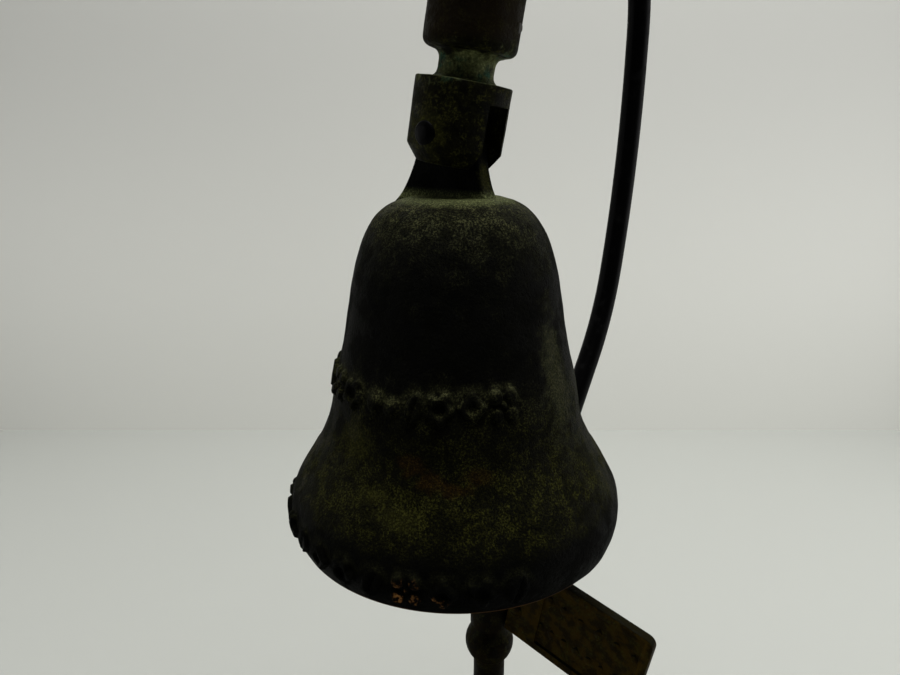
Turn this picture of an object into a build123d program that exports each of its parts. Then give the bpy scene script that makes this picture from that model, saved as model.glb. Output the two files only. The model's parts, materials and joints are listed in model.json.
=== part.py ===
"""Cast bronze bell hung from a swivelling clevis on a bent-rod stand with a turned post.

Millimetres, +Z up. The origin is the centre of the base's underside, on the post's axis.
The arm bends in the XZ plane towards +X, and the sign plate points towards -Y.
"""

import os
from math import cos, radians, sin

from build123d import *

os.makedirs("parts", exist_ok=True)

# ---- clearances -------------------------------------------------------------------------
running = 0.05  # radial, between a shaft and the hole it turns in
seated = 0.02  # radial, between pieces that don't move on each other
end_play = 0.1  # along an axis, between faces that slide on each other

# ---- base and post ----------------------------------------------------------------------
base_radius = 60.0
base_edge_height = 6.0
base_boss_radius = 11.0
base_boss_height = 26.0
recess_radius = 51.0
recess_top = 6.5
felt_thickness = 1.5
felt_radius = 56.0
weight_bore_radius = 13.0

collar_radius = 8.0
collar_height = 6.0

post_radius = 3.65
post_tenon_radius = 3.0
bead_radius = 5.65
bead_height = 10.0
bead_lip = 0.9  # how far the bead's upper edge stands out from the bearing
bearing_radius = 3.0  # stretch of the post that the sign sleeve turns on
head_tenon_radius = 2.2
head_tenon_length = 4.7
head_below_rim = 7.3  # gap between the post head and the level of the bell's rim

nut_across_flats = 10.0
nut_height = 3.4
washer_radius = 6.2
washer_thickness = 0.8

# ---- sign -------------------------------------------------------------------------------
sleeve_radius = 4.5
sleeve_length = 13.6
sign_washer_thickness = 0.5
sign_droop = 10.0  # degrees that the plate's free end hangs down
plate_length = 37.9  # from the post's axis to the free end
plate_height = 20.5
plate_thickness = 2.0
plate_mid_up_sleeve = 12.4  # of the plate's centre line, at the post's axis
plate_start = 6.6  # clear of the sleeve at the drooping lower corner
plate_clip = 6.0  # corner cut away to pass under the post head
plate_clip_drop = 9.6
plate_corner_radius = 2.0
plate_border = 1.8
plate_sunk = 0.5  # depth of the field inside the border
tang_thickness = 1.6
tang_length = 11.0
tang_height = 11.0
rivet_radius = 1.0
rivet_spacing = 7.0
rivet_reach = 8.2  # from the post's axis
rivet_head_height = 0.7
rivet_head_taper = 35.0

# ---- post head and arm ------------------------------------------------------------------
head_radius = 5.5
head_height = 13.5
head_top_rounding = 2.2
head_chamfer = 0.8
arm_radius = 2.6
arm_entry_up_head = 9.2  # of the rod's centre line where it leaves the post head
arm_entry_angle = 15.0  # degrees above level
arm_tenon_radius = 1.8
arm_tenon_end = 2.9  # distance from the post's axis
arm_insertion = 2.0  # of the full rod in the post head
arm_side_gap = 36.1  # from the mouth's widest point to the rod's straight side
arm_knee_gap = 28.07
arm_lower_corner_gap = 4.94
arm_knee_above_rim = 29.0
arm_shoulder_below_pin = 6.0
arm_top_above_pin = 57.0
arch_radius_bell_side = 26.0
arch_radius_arm_side = 33.0
shoulder_bend_radius = 240.0
knee_bend_radius = 65.0
lower_bend_radius = 20.0
set_screw_radius = 1.2
set_screw_reach = 4.2  # from the post's axis
set_screw_sunk = 0.9

# ---- hanger: lengths along the swivel axis, measured up from the pin ------------------------
pin_x = -12.9
pin_height = 196.0
swivel_lean_x = 4.4  # degrees, towards the arm
swivel_lean_y = 8.0  # degrees, towards the sign
clevis_radius = 8.25
clevis_below_pin = 4.7
clevis_above_pin = 8.9
clevis_chamfer_height = 2.8
clevis_chamfer_width = 2.0
slot_play = 1.0  # on each side of the lug
slot_offset = 0.5  # of the slot and lug from the clevis's middle, along the pin
slot_above_pin = 5.8
pin_radius = 1.6
pin_head_radius = 2.25
pin_head_height = 1.0
spot_face_depth = 0.5
neck_radius = 4.75
neck_length = 4.6
neck_fillet = 1.6
stem_radius = 2.55
stem_length = 8.0
groove_depth = 0.8
groove_up_stem = 4.6
socket_radius = 7.95
socket_length = 16.0
socket_rounding = 1.3
socket_top_rounding = 1.2
retaining_pin_radius = 0.8
arm_bore_depth = 5.2
socket_screw_radius = 1.5
socket_screw_head_height = 1.4
socket_screw_angle = -50.0

# ---- bell -------------------------------------------------------------------------------
mouth_radius = 32.0
bell_height = 62.8
crown_below_pin = 10.0
crown_flat_radius = 7.6
bell_wall = 3.3
crown_thickness = 4.2
lip_rounding = 0.8
# the flank as (radius / mouth radius, height / bell height), from the shoulder down to the lip
flank = [
    (0.488, 0.917),
    (0.594, 0.750),
    (0.656, 0.583),
    (0.728, 0.417),
    (0.769, 0.333),
    (0.853, 0.250),
    (0.956, 0.167),
]
lip_height = 5.2  # from the rim up to the widest point
rim_inset = 0.8  # of the rim's outer edge from the widest point
lug_thickness = 3.6
lug_width_crown = 19.4
lug_shift_crown = 2.5  # of the lug's foot away from the sign
lug_width_pin = 12.6
lug_shift_pin = 1.1
lug_above_pin = 4.6
lug_root = 3.4  # depth of the lug's foot in the crown

# ---- clapper ----------------------------------------------------------------------------
staple_wire_radius = 1.1
staple_half_width = 4.0
staple_drop = 7.0  # from the crown's inside down to the wire's centre
staple_pocket = 1.6
link_wire_radius = 0.8
link_ring_radius = 3.6
eye_wire_radius = 0.9
eye_ring_radius = 2.8
hook_play = 0.15
clapper_rod_radius = 1.5
clapper_ball_radius = 6.0
clapper_ball_above_rim = 9.3

# ---- places that follow from the sizes: up from the base, then down from the pin ------------
boss_top = base_boss_height
collar_top = boss_top + collar_height
crown_height = pin_height - crown_below_pin
rim_height = crown_height - bell_height
head_bottom = rim_height - head_below_rim - head_height
sign_washer_bottom = head_bottom - end_play - sign_washer_thickness
sleeve_top = sign_washer_bottom - end_play
sleeve_bottom = sleeve_top - sleeve_length
bead_top = sleeve_bottom - end_play
bead_bottom = bead_top - bead_height
mouth_side = pin_x + mouth_radius

lean_x = sin(radians(swivel_lean_x))
lean_y = -sin(radians(swivel_lean_y))
swivel_axis = Vector(lean_x, lean_y, (1 - lean_x**2 - lean_y**2) ** 0.5)
pin_centre = Vector(pin_x, 0, pin_height)
pin_axis = Vector(swivel_axis.Z, 0, -swivel_axis.X).normalized()
hang = Plane(origin=pin_centre, x_dir=pin_axis, z_dir=swivel_axis)  # square to the swivel
hang_side = Plane(origin=pin_centre, x_dir=pin_axis, z_dir=-hang.y_dir)  # Y runs up the swivel
hang_axis = Axis(pin_centre, swivel_axis)
bell_axis = Axis((pin_x, 0, 0), (0, 0, 1))
bell_side = Plane(origin=(pin_x, 0, 0), x_dir=(1, 0, 0), z_dir=(0, -1, 0))

neck_top = clevis_above_pin + neck_length
socket_bottom = neck_top + end_play
socket_top = socket_bottom + socket_length
stem_top = neck_top + stem_length
arm_end_up = socket_top - arm_bore_depth

# ---- base -------------------------------------------------------------------------------
with BuildPart() as base:
    with BuildSketch(Plane.XZ):
        with BuildLine():
            foot = Line((felt_radius, felt_thickness), (base_radius, felt_thickness))
            edge = Line(foot @ 1, (base_radius, base_edge_height))
            step = Line(edge @ 1, (base_radius - 5, base_edge_height + 2))
            cove = SagittaArc(step @ 1, (base_boss_radius + 14, base_edge_height + 6), 1.2)
            sweep_up = SagittaArc(cove @ 1, (base_boss_radius, boss_top - 5), 3.2)
            boss = Line(sweep_up @ 1, (base_boss_radius, boss_top))
            top = Line(boss @ 1, (post_tenon_radius + seated, boss_top))
            bore = Line(top @ 1, (post_tenon_radius + seated, recess_top))
            roof = Line(bore @ 1, (recess_radius, recess_top))
            wall = Line(roof @ 1, (recess_radius, felt_thickness))
            Line(wall @ 1, foot @ 0)
        make_face()
    revolve(axis=Axis.Z)
base.part.label = "base"

with BuildPart() as base_weight:
    with BuildSketch(Plane.XY.offset(felt_thickness)):
        Circle(recess_radius - 0.3)
        Circle(weight_bore_radius, mode=Mode.SUBTRACT)
    extrude(amount=recess_top - felt_thickness - end_play)
base_weight.part.label = "base_weight"

with BuildPart() as base_felt:
    with BuildSketch(Plane.XY):
        Circle(felt_radius)
    extrude(amount=felt_thickness)
base_felt.part.label = "base_felt"

washer_bottom = recess_top - washer_thickness
with BuildPart() as base_washer:
    with BuildSketch(Plane.XY.offset(washer_bottom)):
        Circle(washer_radius)
        Circle(post_tenon_radius + seated, mode=Mode.SUBTRACT)
    extrude(amount=washer_thickness)
base_washer.part.label = "base_washer"

with BuildPart() as base_nut:
    with BuildSketch(Plane.XY.offset(washer_bottom - nut_height)):
        RegularPolygon(nut_across_flats / 2, 6, major_radius=False)
        Circle(post_tenon_radius + seated, mode=Mode.SUBTRACT)
    extrude(amount=nut_height)
base_nut.part.label = "base_nut"

# ---- post -------------------------------------------------------------------------------
with BuildPart() as foot_collar:
    with BuildSketch(Plane.XZ):
        with BuildLine():
            under = Line((post_tenon_radius + seated, boss_top), (collar_radius - 1, boss_top))
            belly = SagittaArc(under @ 1, (collar_radius - 2, collar_top - 1.5), -2.0)
            lip = Line(belly @ 1, (post_radius + 0.6, collar_top))
            over = Line(lip @ 1, (post_tenon_radius + seated, collar_top))
            Line(over @ 1, under @ 0)
        make_face()
    revolve(axis=Axis.Z)
foot_collar.part.label = "foot_collar"

bead_middle = (bead_bottom + bead_top) / 2
tenon_bottom = washer_bottom - nut_height + 0.3
with BuildPart() as post:
    with BuildSketch(Plane.XZ):
        with BuildLine():
            end = Line((0, tenon_bottom), (post_tenon_radius, tenon_bottom))
            tenon = Line(end @ 1, (post_tenon_radius, collar_top))
            seat = Line(tenon @ 1, (post_radius, collar_top))
            shaft = Line(seat @ 1, (post_radius, bead_bottom))
            bead = ThreePointArc(
                shaft @ 1, (bead_radius, bead_middle), (bearing_radius + bead_lip, bead_top)
            )
            bead_face = Line(bead @ 1, (bearing_radius, bead_top))
            bearing = Line(bead_face @ 1, (bearing_radius, head_bottom))
            shoulder = Line(bearing @ 1, (head_tenon_radius, head_bottom))
            spigot = Line(shoulder @ 1, (head_tenon_radius, head_bottom + head_tenon_length))
            spigot_end = Line(spigot @ 1, (0, head_bottom + head_tenon_length))
            Line(spigot_end @ 1, end @ 0)
        make_face()
    revolve(axis=Axis.Z)
post.part.label = "post"

# ---- sign -------------------------------------------------------------------------------
droop = radians(sign_droop)
sign_plane = Plane(
    origin=(0, 0, sleeve_bottom + plate_mid_up_sleeve),
    x_dir=(0, -cos(droop), -sin(droop)),
    z_dir=(-1, 0, 0),
)
rivet_places = [(rivet_reach, -rivet_spacing / 2), (rivet_reach, rivet_spacing / 2)]
tang_middle = (sleeve_bottom + sleeve_top) / 2

with BuildPart() as sign_sleeve:
    with BuildSketch(Plane.XY.offset(sleeve_bottom)):
        Circle(sleeve_radius)
    extrude(amount=sleeve_length)
    with BuildSketch(Plane.YZ.offset(plate_thickness / 2)):
        with Locations((-tang_length / 2, tang_middle)):
            Rectangle(tang_length, tang_height)
    extrude(amount=tang_thickness)
    with BuildSketch(Plane.XY.offset(sleeve_bottom)):
        Circle(bearing_radius + running)
    extrude(amount=sleeve_length, mode=Mode.SUBTRACT)
    with BuildSketch(sign_plane):
        with Locations(*rivet_places):
            Circle(rivet_radius + seated)
    extrude(amount=-(plate_thickness + tang_thickness), mode=Mode.SUBTRACT)
sign_sleeve.part.label = "sign_sleeve"

half_height = plate_height / 2
with BuildPart() as sign_plate:
    with BuildSketch(sign_plane):
        with BuildLine():
            Polyline(
                (plate_start, -half_height),
                (plate_length, -half_height),
                (plate_length, half_height),
                (plate_start + plate_clip, half_height),
                (plate_start, half_height - plate_clip_drop),
                close=True,
            )
        make_face()
        fillet(vertices().sort_by(sign_plane.location.x_axis)[-2:], radius=plate_corner_radius)
    extrude(amount=plate_thickness / 2, both=True)
    field_start = plate_start + plate_clip + plate_border
    with BuildSketch(sign_plane.offset(plate_thickness / 2 - plate_sunk)):
        with Locations(((field_start + plate_length - plate_border) / 2, 0)):
            RectangleRounded(
                plate_length - plate_border - field_start,
                plate_height - 2 * plate_border,
                plate_border / 2,
            )
    extrude(amount=plate_sunk, mode=Mode.SUBTRACT)
    with BuildSketch(sign_plane):
        with Locations(*rivet_places):
            Circle(rivet_radius + seated)
    extrude(amount=plate_thickness, both=True, mode=Mode.SUBTRACT)
sign_plate.part.label = "sign_plate"

rivet_length = plate_thickness + tang_thickness
rivet_head_radius = rivet_radius * 1.8
with BuildPart() as sign_rivets:
    with BuildSketch(sign_plane.offset(plate_thickness / 2 - rivet_length)):
        with Locations(*rivet_places):
            Circle(rivet_radius)
    extrude(amount=rivet_length)
    for height, direction in ((plate_thickness / 2, 1), (plate_thickness / 2 - rivet_length, -1)):
        with BuildSketch(sign_plane.offset(height)):
            with Locations(*rivet_places):
                Circle(rivet_head_radius)
        extrude(amount=rivet_head_height * direction, taper=rivet_head_taper)
sign_rivets.part.label = "sign_rivets"

with BuildPart() as sign_washer:
    with BuildSketch(Plane.XY.offset(sign_washer_bottom)):
        Circle(sleeve_radius + 0.3)
        Circle(bearing_radius + running, mode=Mode.SUBTRACT)
    extrude(amount=sign_washer_thickness)
sign_washer.part.label = "sign_washer"

# ---- arm --------------------------------------------------------------------------------
rise = radians(arm_entry_angle)
arm_entry = Vector(head_radius, 0, head_bottom + arm_entry_up_head)
arm_outward = Vector(cos(rise), 0, sin(rise))
arm_start = arm_entry - arm_outward * arm_insertion
arm_tenon_start = arm_entry - arm_outward * ((head_radius - arm_tenon_end) / cos(rise))
arm_side = mouth_side + arm_side_gap
lower_corner_run = mouth_side + arm_lower_corner_gap - head_radius
arm_corners = [
    arm_start,
    arm_entry + arm_outward * (lower_corner_run / cos(rise)),
    Vector(mouth_side + arm_knee_gap, 0, rim_height + arm_knee_above_rim),
    Vector(arm_side, 0, pin_height - arm_shoulder_below_pin),
    Vector(arm_side, 0, pin_height + arm_top_above_pin),
    pin_centre + swivel_axis * (arm_top_above_pin / swivel_axis.Z),
    pin_centre + swivel_axis * arm_end_up,
]
bend_radii = [
    lower_bend_radius,
    knee_bend_radius,
    shoulder_bend_radius,
    arch_radius_arm_side,
    arch_radius_bell_side,
]
with BuildPart() as arm:
    with BuildLine() as arm_path:
        FilletPolyline(*arm_corners, radius=bend_radii)
    with BuildSketch(Plane(origin=arm_start, z_dir=arm_outward)):
        Circle(arm_radius)
    sweep(path=arm_path.wires()[0])
    with BuildSketch(Plane(origin=arm_tenon_start, z_dir=arm_outward)):
        Circle(arm_tenon_radius)
    extrude(amount=(arm_start - arm_tenon_start).length)
arm.part.label = "arm"

head_screw_place = (set_screw_reach, arm_entry.Z - (head_radius - set_screw_reach) * sin(rise) / cos(rise))
with BuildPart() as post_head:
    with BuildSketch(Plane.XY.offset(head_bottom)):
        Circle(head_radius)
    extrude(amount=head_height)
    fillet(post_head.edges().group_by(Axis.Z)[-1], radius=head_top_rounding)
    chamfer(post_head.edges().group_by(Axis.Z)[0], length=head_chamfer)
    with BuildSketch(Plane.XY.offset(head_bottom)):
        Circle(head_tenon_radius + seated)
    extrude(amount=head_tenon_length + 0.2, mode=Mode.SUBTRACT)
    with BuildSketch(Plane(origin=arm_start, z_dir=arm_outward)):
        Circle(arm_radius + seated)
    extrude(amount=head_radius, mode=Mode.SUBTRACT)
    with BuildSketch(Plane(origin=arm_tenon_start - arm_outward * 0.1, z_dir=arm_outward)):
        Circle(arm_tenon_radius + seated)
    extrude(amount=head_radius, mode=Mode.SUBTRACT)
    with BuildSketch(Plane.XZ):
        with Locations(head_screw_place):
            Circle(set_screw_radius + seated)
    extrude(amount=head_radius + 1, mode=Mode.SUBTRACT)
post_head.part.label = "post_head"

with BuildPart() as post_head_screw:
    with BuildSketch(Plane.XZ.offset(arm_radius + seated)):
        with Locations(head_screw_place):
            Circle(set_screw_radius)
    extrude(amount=head_radius - arm_radius - set_screw_sunk)
    with BuildSketch(Plane.XZ.offset(head_radius - 1.4)):
        with Locations(head_screw_place):
            Rectangle(2 * set_screw_radius + 1, 0.5)
    extrude(amount=2, mode=Mode.SUBTRACT)
post_head_screw.part.label = "post_head_screw"

# ---- swivel socket ------------------------------------------------------------------------
groove_height = neck_top + groove_up_stem
retaining_offset = stem_radius - groove_depth + retaining_pin_radius + running
screw_plane = Plane(
    origin=pin_centre + swivel_axis * (socket_top - arm_bore_depth / 2),
    x_dir=swivel_axis,
    z_dir=hang.x_dir * cos(radians(socket_screw_angle)) + hang.y_dir * sin(radians(socket_screw_angle)),
)
with BuildPart() as swivel_socket:
    with BuildSketch(hang.offset(socket_bottom)):
        Circle(socket_radius)
    extrude(amount=socket_length)
    fillet(swivel_socket.edges().filter_by(GeomType.CIRCLE).sort_by(hang_axis)[0], socket_rounding)
    fillet(swivel_socket.edges().filter_by(GeomType.CIRCLE).sort_by(hang_axis)[-1], socket_top_rounding)
    with BuildSketch(hang.offset(socket_bottom)):
        Circle(stem_radius + running)
    extrude(amount=stem_length + 0.3, mode=Mode.SUBTRACT)
    with BuildSketch(hang.offset(arm_end_up - 0.1)):
        Circle(arm_radius + seated)
    extrude(amount=arm_bore_depth + 1, mode=Mode.SUBTRACT)
    with BuildSketch(hang_side):
        with Locations((retaining_offset, groove_height)):
            Circle(retaining_pin_radius + seated)
    extrude(amount=2 * socket_radius, both=True, mode=Mode.SUBTRACT)
    with BuildSketch(screw_plane):
        Circle(socket_screw_radius + seated)
    extrude(amount=2 * socket_radius, mode=Mode.SUBTRACT)
swivel_socket.part.label = "swivel_socket"

with BuildPart() as socket_set_screw:
    with BuildSketch(screw_plane.offset(arm_radius + seated)):
        Circle(socket_screw_radius)
    extrude(amount=socket_radius - arm_radius + 0.3)
    with BuildSketch(screw_plane.offset(socket_radius + 0.05)):
        Circle(socket_screw_radius * 1.5)
    extrude(amount=socket_screw_head_height)
    with BuildSketch(screw_plane.offset(socket_radius + socket_screw_head_height - 0.6)):
        Rectangle(2 * socket_radius, 0.6)
    extrude(amount=2, mode=Mode.SUBTRACT)
socket_set_screw.part.label = "socket_set_screw"

retaining_half_length = (socket_radius**2 - retaining_offset**2) ** 0.5
with BuildPart() as swivel_retaining_pin:
    with BuildSketch(hang_side):
        with Locations((retaining_offset, groove_height)):
            Circle(retaining_pin_radius)
    extrude(amount=retaining_half_length, both=True)
swivel_retaining_pin.part.label = "swivel_retaining_pin"

# ---- clevis -------------------------------------------------------------------------------
groove_half = retaining_pin_radius + 0.15
chamfer_top = clevis_chamfer_height - clevis_below_pin
with BuildPart() as clevis:
    with BuildSketch(hang_side):
        with BuildLine():
            underside = Line((0, -clevis_below_pin), (clevis_radius - clevis_chamfer_width, -clevis_below_pin))
            slope = Line(underside @ 1, (clevis_radius, chamfer_top))
            side = Line(slope @ 1, (clevis_radius, clevis_above_pin))
            top_face = Line(side @ 1, (neck_radius + neck_fillet, clevis_above_pin))
            lower_cove = RadiusArc(
                top_face @ 1, (neck_radius, clevis_above_pin + neck_fillet), neck_fillet
            )
            neck = Line(lower_cove @ 1, (neck_radius, neck_top - neck_fillet))
            upper_cove = RadiusArc(neck @ 1, (neck_radius + neck_fillet, neck_top), neck_fillet)
            neck_face = Line(upper_cove @ 1, (stem_radius, neck_top))
            stem = Polyline(
                neck_face @ 1,
                (stem_radius, groove_height - groove_half),
                (stem_radius - groove_depth, groove_height - groove_half),
                (stem_radius - groove_depth, groove_height + groove_half),
                (stem_radius, groove_height + groove_half),
                (stem_radius, stem_top),
                (0, stem_top),
            )
            Line(stem @ 1, underside @ 0)
        make_face()
    revolve(axis=hang_axis)
    with BuildSketch(hang_side):
        with Locations((slot_offset, (slot_above_pin - clevis_radius) / 2)):
            Rectangle(lug_thickness + 2 * slot_play, slot_above_pin + clevis_radius)
    extrude(amount=2 * clevis_radius, both=True, mode=Mode.SUBTRACT)
    with BuildSketch(Plane(origin=pin_centre, z_dir=pin_axis)):
        Circle(pin_radius + seated)
    extrude(amount=2 * clevis_radius, both=True, mode=Mode.SUBTRACT)
    for end_direction in (pin_axis, -pin_axis):
        spot_origin = pin_centre + end_direction * (clevis_radius - spot_face_depth)
        with BuildSketch(Plane(origin=spot_origin, z_dir=end_direction)):
            Circle(pin_head_radius + 0.15)
        extrude(amount=2, mode=Mode.SUBTRACT)
clevis.part.label = "clevis"

pin_half_length = clevis_radius - spot_face_depth
with BuildPart() as clevis_pin:
    with BuildSketch(Plane(origin=pin_centre, z_dir=pin_axis)):
        Circle(pin_radius)
    extrude(amount=pin_half_length, both=True)
    for end_direction in (pin_axis, -pin_axis):
        head_origin = pin_centre + end_direction * pin_half_length
        with BuildSketch(Plane(origin=head_origin, z_dir=end_direction)):
            Circle(pin_head_radius)
        extrude(amount=pin_head_height)
    rims = clevis_pin.edges().filter_by(GeomType.CIRCLE).sort_by(Axis(pin_centre, pin_axis))
    fillet([rims[0], rims[-1]], radius=0.7)
clevis_pin.part.label = "clevis_pin"

# ---- bell ---------------------------------------------------------------------------------


def outside(point):
    """A point of the bell's outside from its share of the mouth's radius and of the height."""
    return (point[0] * mouth_radius, rim_height + point[1] * bell_height)


outer_points = [outside(point) for point in flank]
inner_points = [(radius - bell_wall, height - 0.15 * bell_wall) for radius, height in outer_points]
lip_inner_radius = mouth_radius - bell_wall
lip_slope = (0.5, -0.87)  # direction of the flank where it meets the lip
staple_top = crown_height - crown_thickness + staple_pocket
staple_wire_height = crown_height - crown_thickness - staple_drop

with BuildPart() as bell:
    with BuildSketch(bell_side):
        with BuildLine():
            crown = Line((0, crown_height), (crown_flat_radius, crown_height))
            flank_line = Spline(crown @ 1, *outer_points, tangents=((1, -0.1), lip_slope))
            lip_bow = ThreePointArc(
                flank_line @ 1,
                (mouth_radius, rim_height + lip_height),
                (mouth_radius - rim_inset, rim_height + lip_rounding),
            )
            lip_turn = Line(lip_bow @ 1, (mouth_radius - rim_inset - lip_rounding, rim_height))
            mouth = Line(lip_turn @ 1, (lip_inner_radius + 0.2, rim_height))
            inner_bow = ThreePointArc(
                mouth @ 1, (lip_inner_radius, rim_height + lip_height), inner_points[-1]
            )
            inside_line = Spline(
                *reversed(inner_points),
                (crown_flat_radius - 1.4, crown_height - crown_thickness),
                tangents=((-lip_slope[0], -lip_slope[1]), (-1, 0.1)),
            )
            ceiling = Line(inside_line @ 1, (0, crown_height - crown_thickness))
            Line(ceiling @ 1, crown @ 0)
        make_face()
    revolve(axis=bell_axis)
    with BuildSketch(Plane.YZ.offset(pin_x + slot_offset)):
        with BuildLine():
            foot_left = (lug_shift_crown - lug_width_crown / 2, crown_height)
            foot_right = (lug_shift_crown + lug_width_crown / 2, crown_height)
            side_left = (lug_shift_pin - lug_width_pin / 2, pin_height)
            side_right = (lug_shift_pin + lug_width_pin / 2, pin_height)
            root = Polyline(
                side_left,
                foot_left,
                (foot_left[0], crown_height - lug_root),
                (foot_right[0], crown_height - lug_root),
                foot_right,
                side_right,
            )
            ThreePointArc(root @ 1, (lug_shift_pin, pin_height + lug_above_pin), root @ 0)
        make_face()
    extrude(amount=lug_thickness / 2, both=True)
    with BuildSketch(Plane(origin=pin_centre, z_dir=pin_axis)):
        Circle(pin_radius + running)
    extrude(amount=clevis_radius, both=True, mode=Mode.SUBTRACT)
    with BuildSketch(Plane.XY.offset(crown_height - crown_thickness - 1)):
        with Locations((pin_x - staple_half_width, 0), (pin_x + staple_half_width, 0)):
            Circle(staple_wire_radius + seated)
    extrude(amount=staple_pocket + 1.1, mode=Mode.SUBTRACT)
bell.part.label = "bell"

# ---- clapper ------------------------------------------------------------------------------
staple_bend = 2.0
clapper_ball_height = rim_height + clapper_ball_above_rim
with BuildPart() as clapper_staple:
    with BuildLine() as staple_path:
        FilletPolyline(
            (pin_x - staple_half_width, 0, staple_top),
            (pin_x - staple_half_width, 0, staple_wire_height),
            (pin_x + staple_half_width, 0, staple_wire_height),
            (pin_x + staple_half_width, 0, staple_top),
            radius=staple_bend,
        )
    with BuildSketch(Plane(origin=(pin_x - staple_half_width, 0, staple_top), z_dir=(0, 0, -1))):
        Circle(staple_wire_radius)
    sweep(path=staple_path.wires()[0])
clapper_staple.part.label = "clapper_staple"

link_top = staple_wire_height + staple_wire_radius + hook_play + link_wire_radius
link_middle = link_top - link_ring_radius
link_bottom = link_middle - link_ring_radius
with BuildPart() as clapper_link:
    with BuildSketch(Plane.XZ):
        with Locations((pin_x, link_bottom)):
            Circle(link_wire_radius)
    revolve(axis=Axis((pin_x, 0, link_middle), (1, 0, 0)))
clapper_link.part.label = "clapper_link"

eye_top = link_bottom + link_wire_radius + hook_play + eye_wire_radius
eye_middle = eye_top - eye_ring_radius
rod_top = eye_middle - eye_ring_radius + 0.2
with BuildPart() as clapper_rod:
    with BuildSketch(Plane(origin=(pin_x, 0, eye_top), x_dir=(0, 1, 0), z_dir=(1, 0, 0))):
        Circle(eye_wire_radius)
    revolve(axis=Axis((pin_x, 0, eye_middle), (0, 1, 0)))
    with BuildSketch(Plane(origin=(pin_x, 0, clapper_ball_height))):
        Circle(clapper_rod_radius)
    extrude(amount=rod_top - clapper_ball_height)
clapper_rod.part.label = "clapper_rod"

with BuildPart() as clapper_ball:
    with Locations((pin_x, 0, clapper_ball_height)):
        Sphere(clapper_ball_radius)
    with BuildSketch(Plane(origin=(pin_x, 0, clapper_ball_height))):
        Circle(clapper_rod_radius + seated)
    extrude(amount=clapper_ball_radius + 1, mode=Mode.SUBTRACT)
clapper_ball.part.label = "clapper_ball"

# ---- write --------------------------------------------------------------------------------
pieces = (
    base,
    base_weight,
    base_felt,
    base_washer,
    base_nut,
    foot_collar,
    post,
    sign_sleeve,
    sign_plate,
    sign_rivets,
    sign_washer,
    post_head,
    post_head_screw,
    arm,
    swivel_socket,
    socket_set_screw,
    swivel_retaining_pin,
    clevis,
    clevis_pin,
    bell,
    clapper_staple,
    clapper_link,
    clapper_rod,
    clapper_ball,
)
for piece in pieces:
    export_step(piece.part, f"parts/{piece.part.label}.step")
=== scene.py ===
"""Surfaces, stage and light for a cast bronze bell hung from a swivel clevis on a bent-rod stand."""

import json
import math

import bmesh
import bpy
from bpy.props import FloatProperty, FloatVectorProperty, IntProperty, PointerProperty
from mathutils import Matrix, Vector, noise
from mathutils.bvhtree import BVHTree


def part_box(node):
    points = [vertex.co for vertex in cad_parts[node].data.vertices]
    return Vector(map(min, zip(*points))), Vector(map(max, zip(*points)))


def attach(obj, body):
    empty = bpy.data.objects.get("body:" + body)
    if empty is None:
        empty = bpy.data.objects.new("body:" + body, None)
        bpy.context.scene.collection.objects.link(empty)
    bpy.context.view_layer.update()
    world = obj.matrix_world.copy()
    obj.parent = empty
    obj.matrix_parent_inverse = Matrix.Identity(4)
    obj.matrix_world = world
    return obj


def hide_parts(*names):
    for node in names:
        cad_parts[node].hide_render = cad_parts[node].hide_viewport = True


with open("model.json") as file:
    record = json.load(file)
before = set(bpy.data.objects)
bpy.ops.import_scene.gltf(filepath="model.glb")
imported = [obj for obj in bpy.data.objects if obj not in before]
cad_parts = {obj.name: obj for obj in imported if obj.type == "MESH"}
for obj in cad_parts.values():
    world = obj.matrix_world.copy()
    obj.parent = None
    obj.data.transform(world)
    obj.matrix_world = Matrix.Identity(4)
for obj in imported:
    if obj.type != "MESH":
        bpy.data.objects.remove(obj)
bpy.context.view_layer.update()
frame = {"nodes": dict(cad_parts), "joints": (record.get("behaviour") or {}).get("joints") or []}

bl_info = {
    "name": "Bronze Bell on a Stand",
    "version": (1, 0, 0),
    "blender": (4, 5, 0),
    "location": "View3D > Sidebar > Bell",
    "description": "Builds the finished surfaces of a hanging bronze bell and its stand on the packed frame",
    "category": "Object",
}

JOINTS = {joint["name"]: joint for joint in frame["joints"]}
PIN = Vector(JOINTS["bell_swing"]["pos_m"])
PIN_AXIS = -Vector(JOINTS["bell_swing"]["axis"]).normalized()
SWIVEL_AXIS = Vector(JOINTS["swivel_turn"]["axis"]).normalized()
CROWN_BELOW_PIN = 0.0100
CROWN = PIN.z - CROWN_BELOW_PIN  # the bell's flat top, under the lug
BELL_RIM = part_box("bell")[0][2]


def hang_matrix():
    """Puts a shape that stands on Z on the swivel's axis, with its zero at the pin's centre."""
    back = SWIVEL_AXIS.cross(PIN_AXIS)
    turn = Matrix((PIN_AXIS, back, SWIVEL_AXIS)).transposed().to_4x4()
    return Matrix.Translation(PIN) @ turn


# ---- settings -----------------------------------------------------------------------------


def length(name, description, default):
    return FloatProperty(
        name=name, description=description, default=default, subtype="DISTANCE", unit="LENGTH"
    )


def colour(name, description, default):
    return FloatVectorProperty(
        name=name, description=description, default=default, subtype="COLOR", size=3, min=0, max=1
    )


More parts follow.
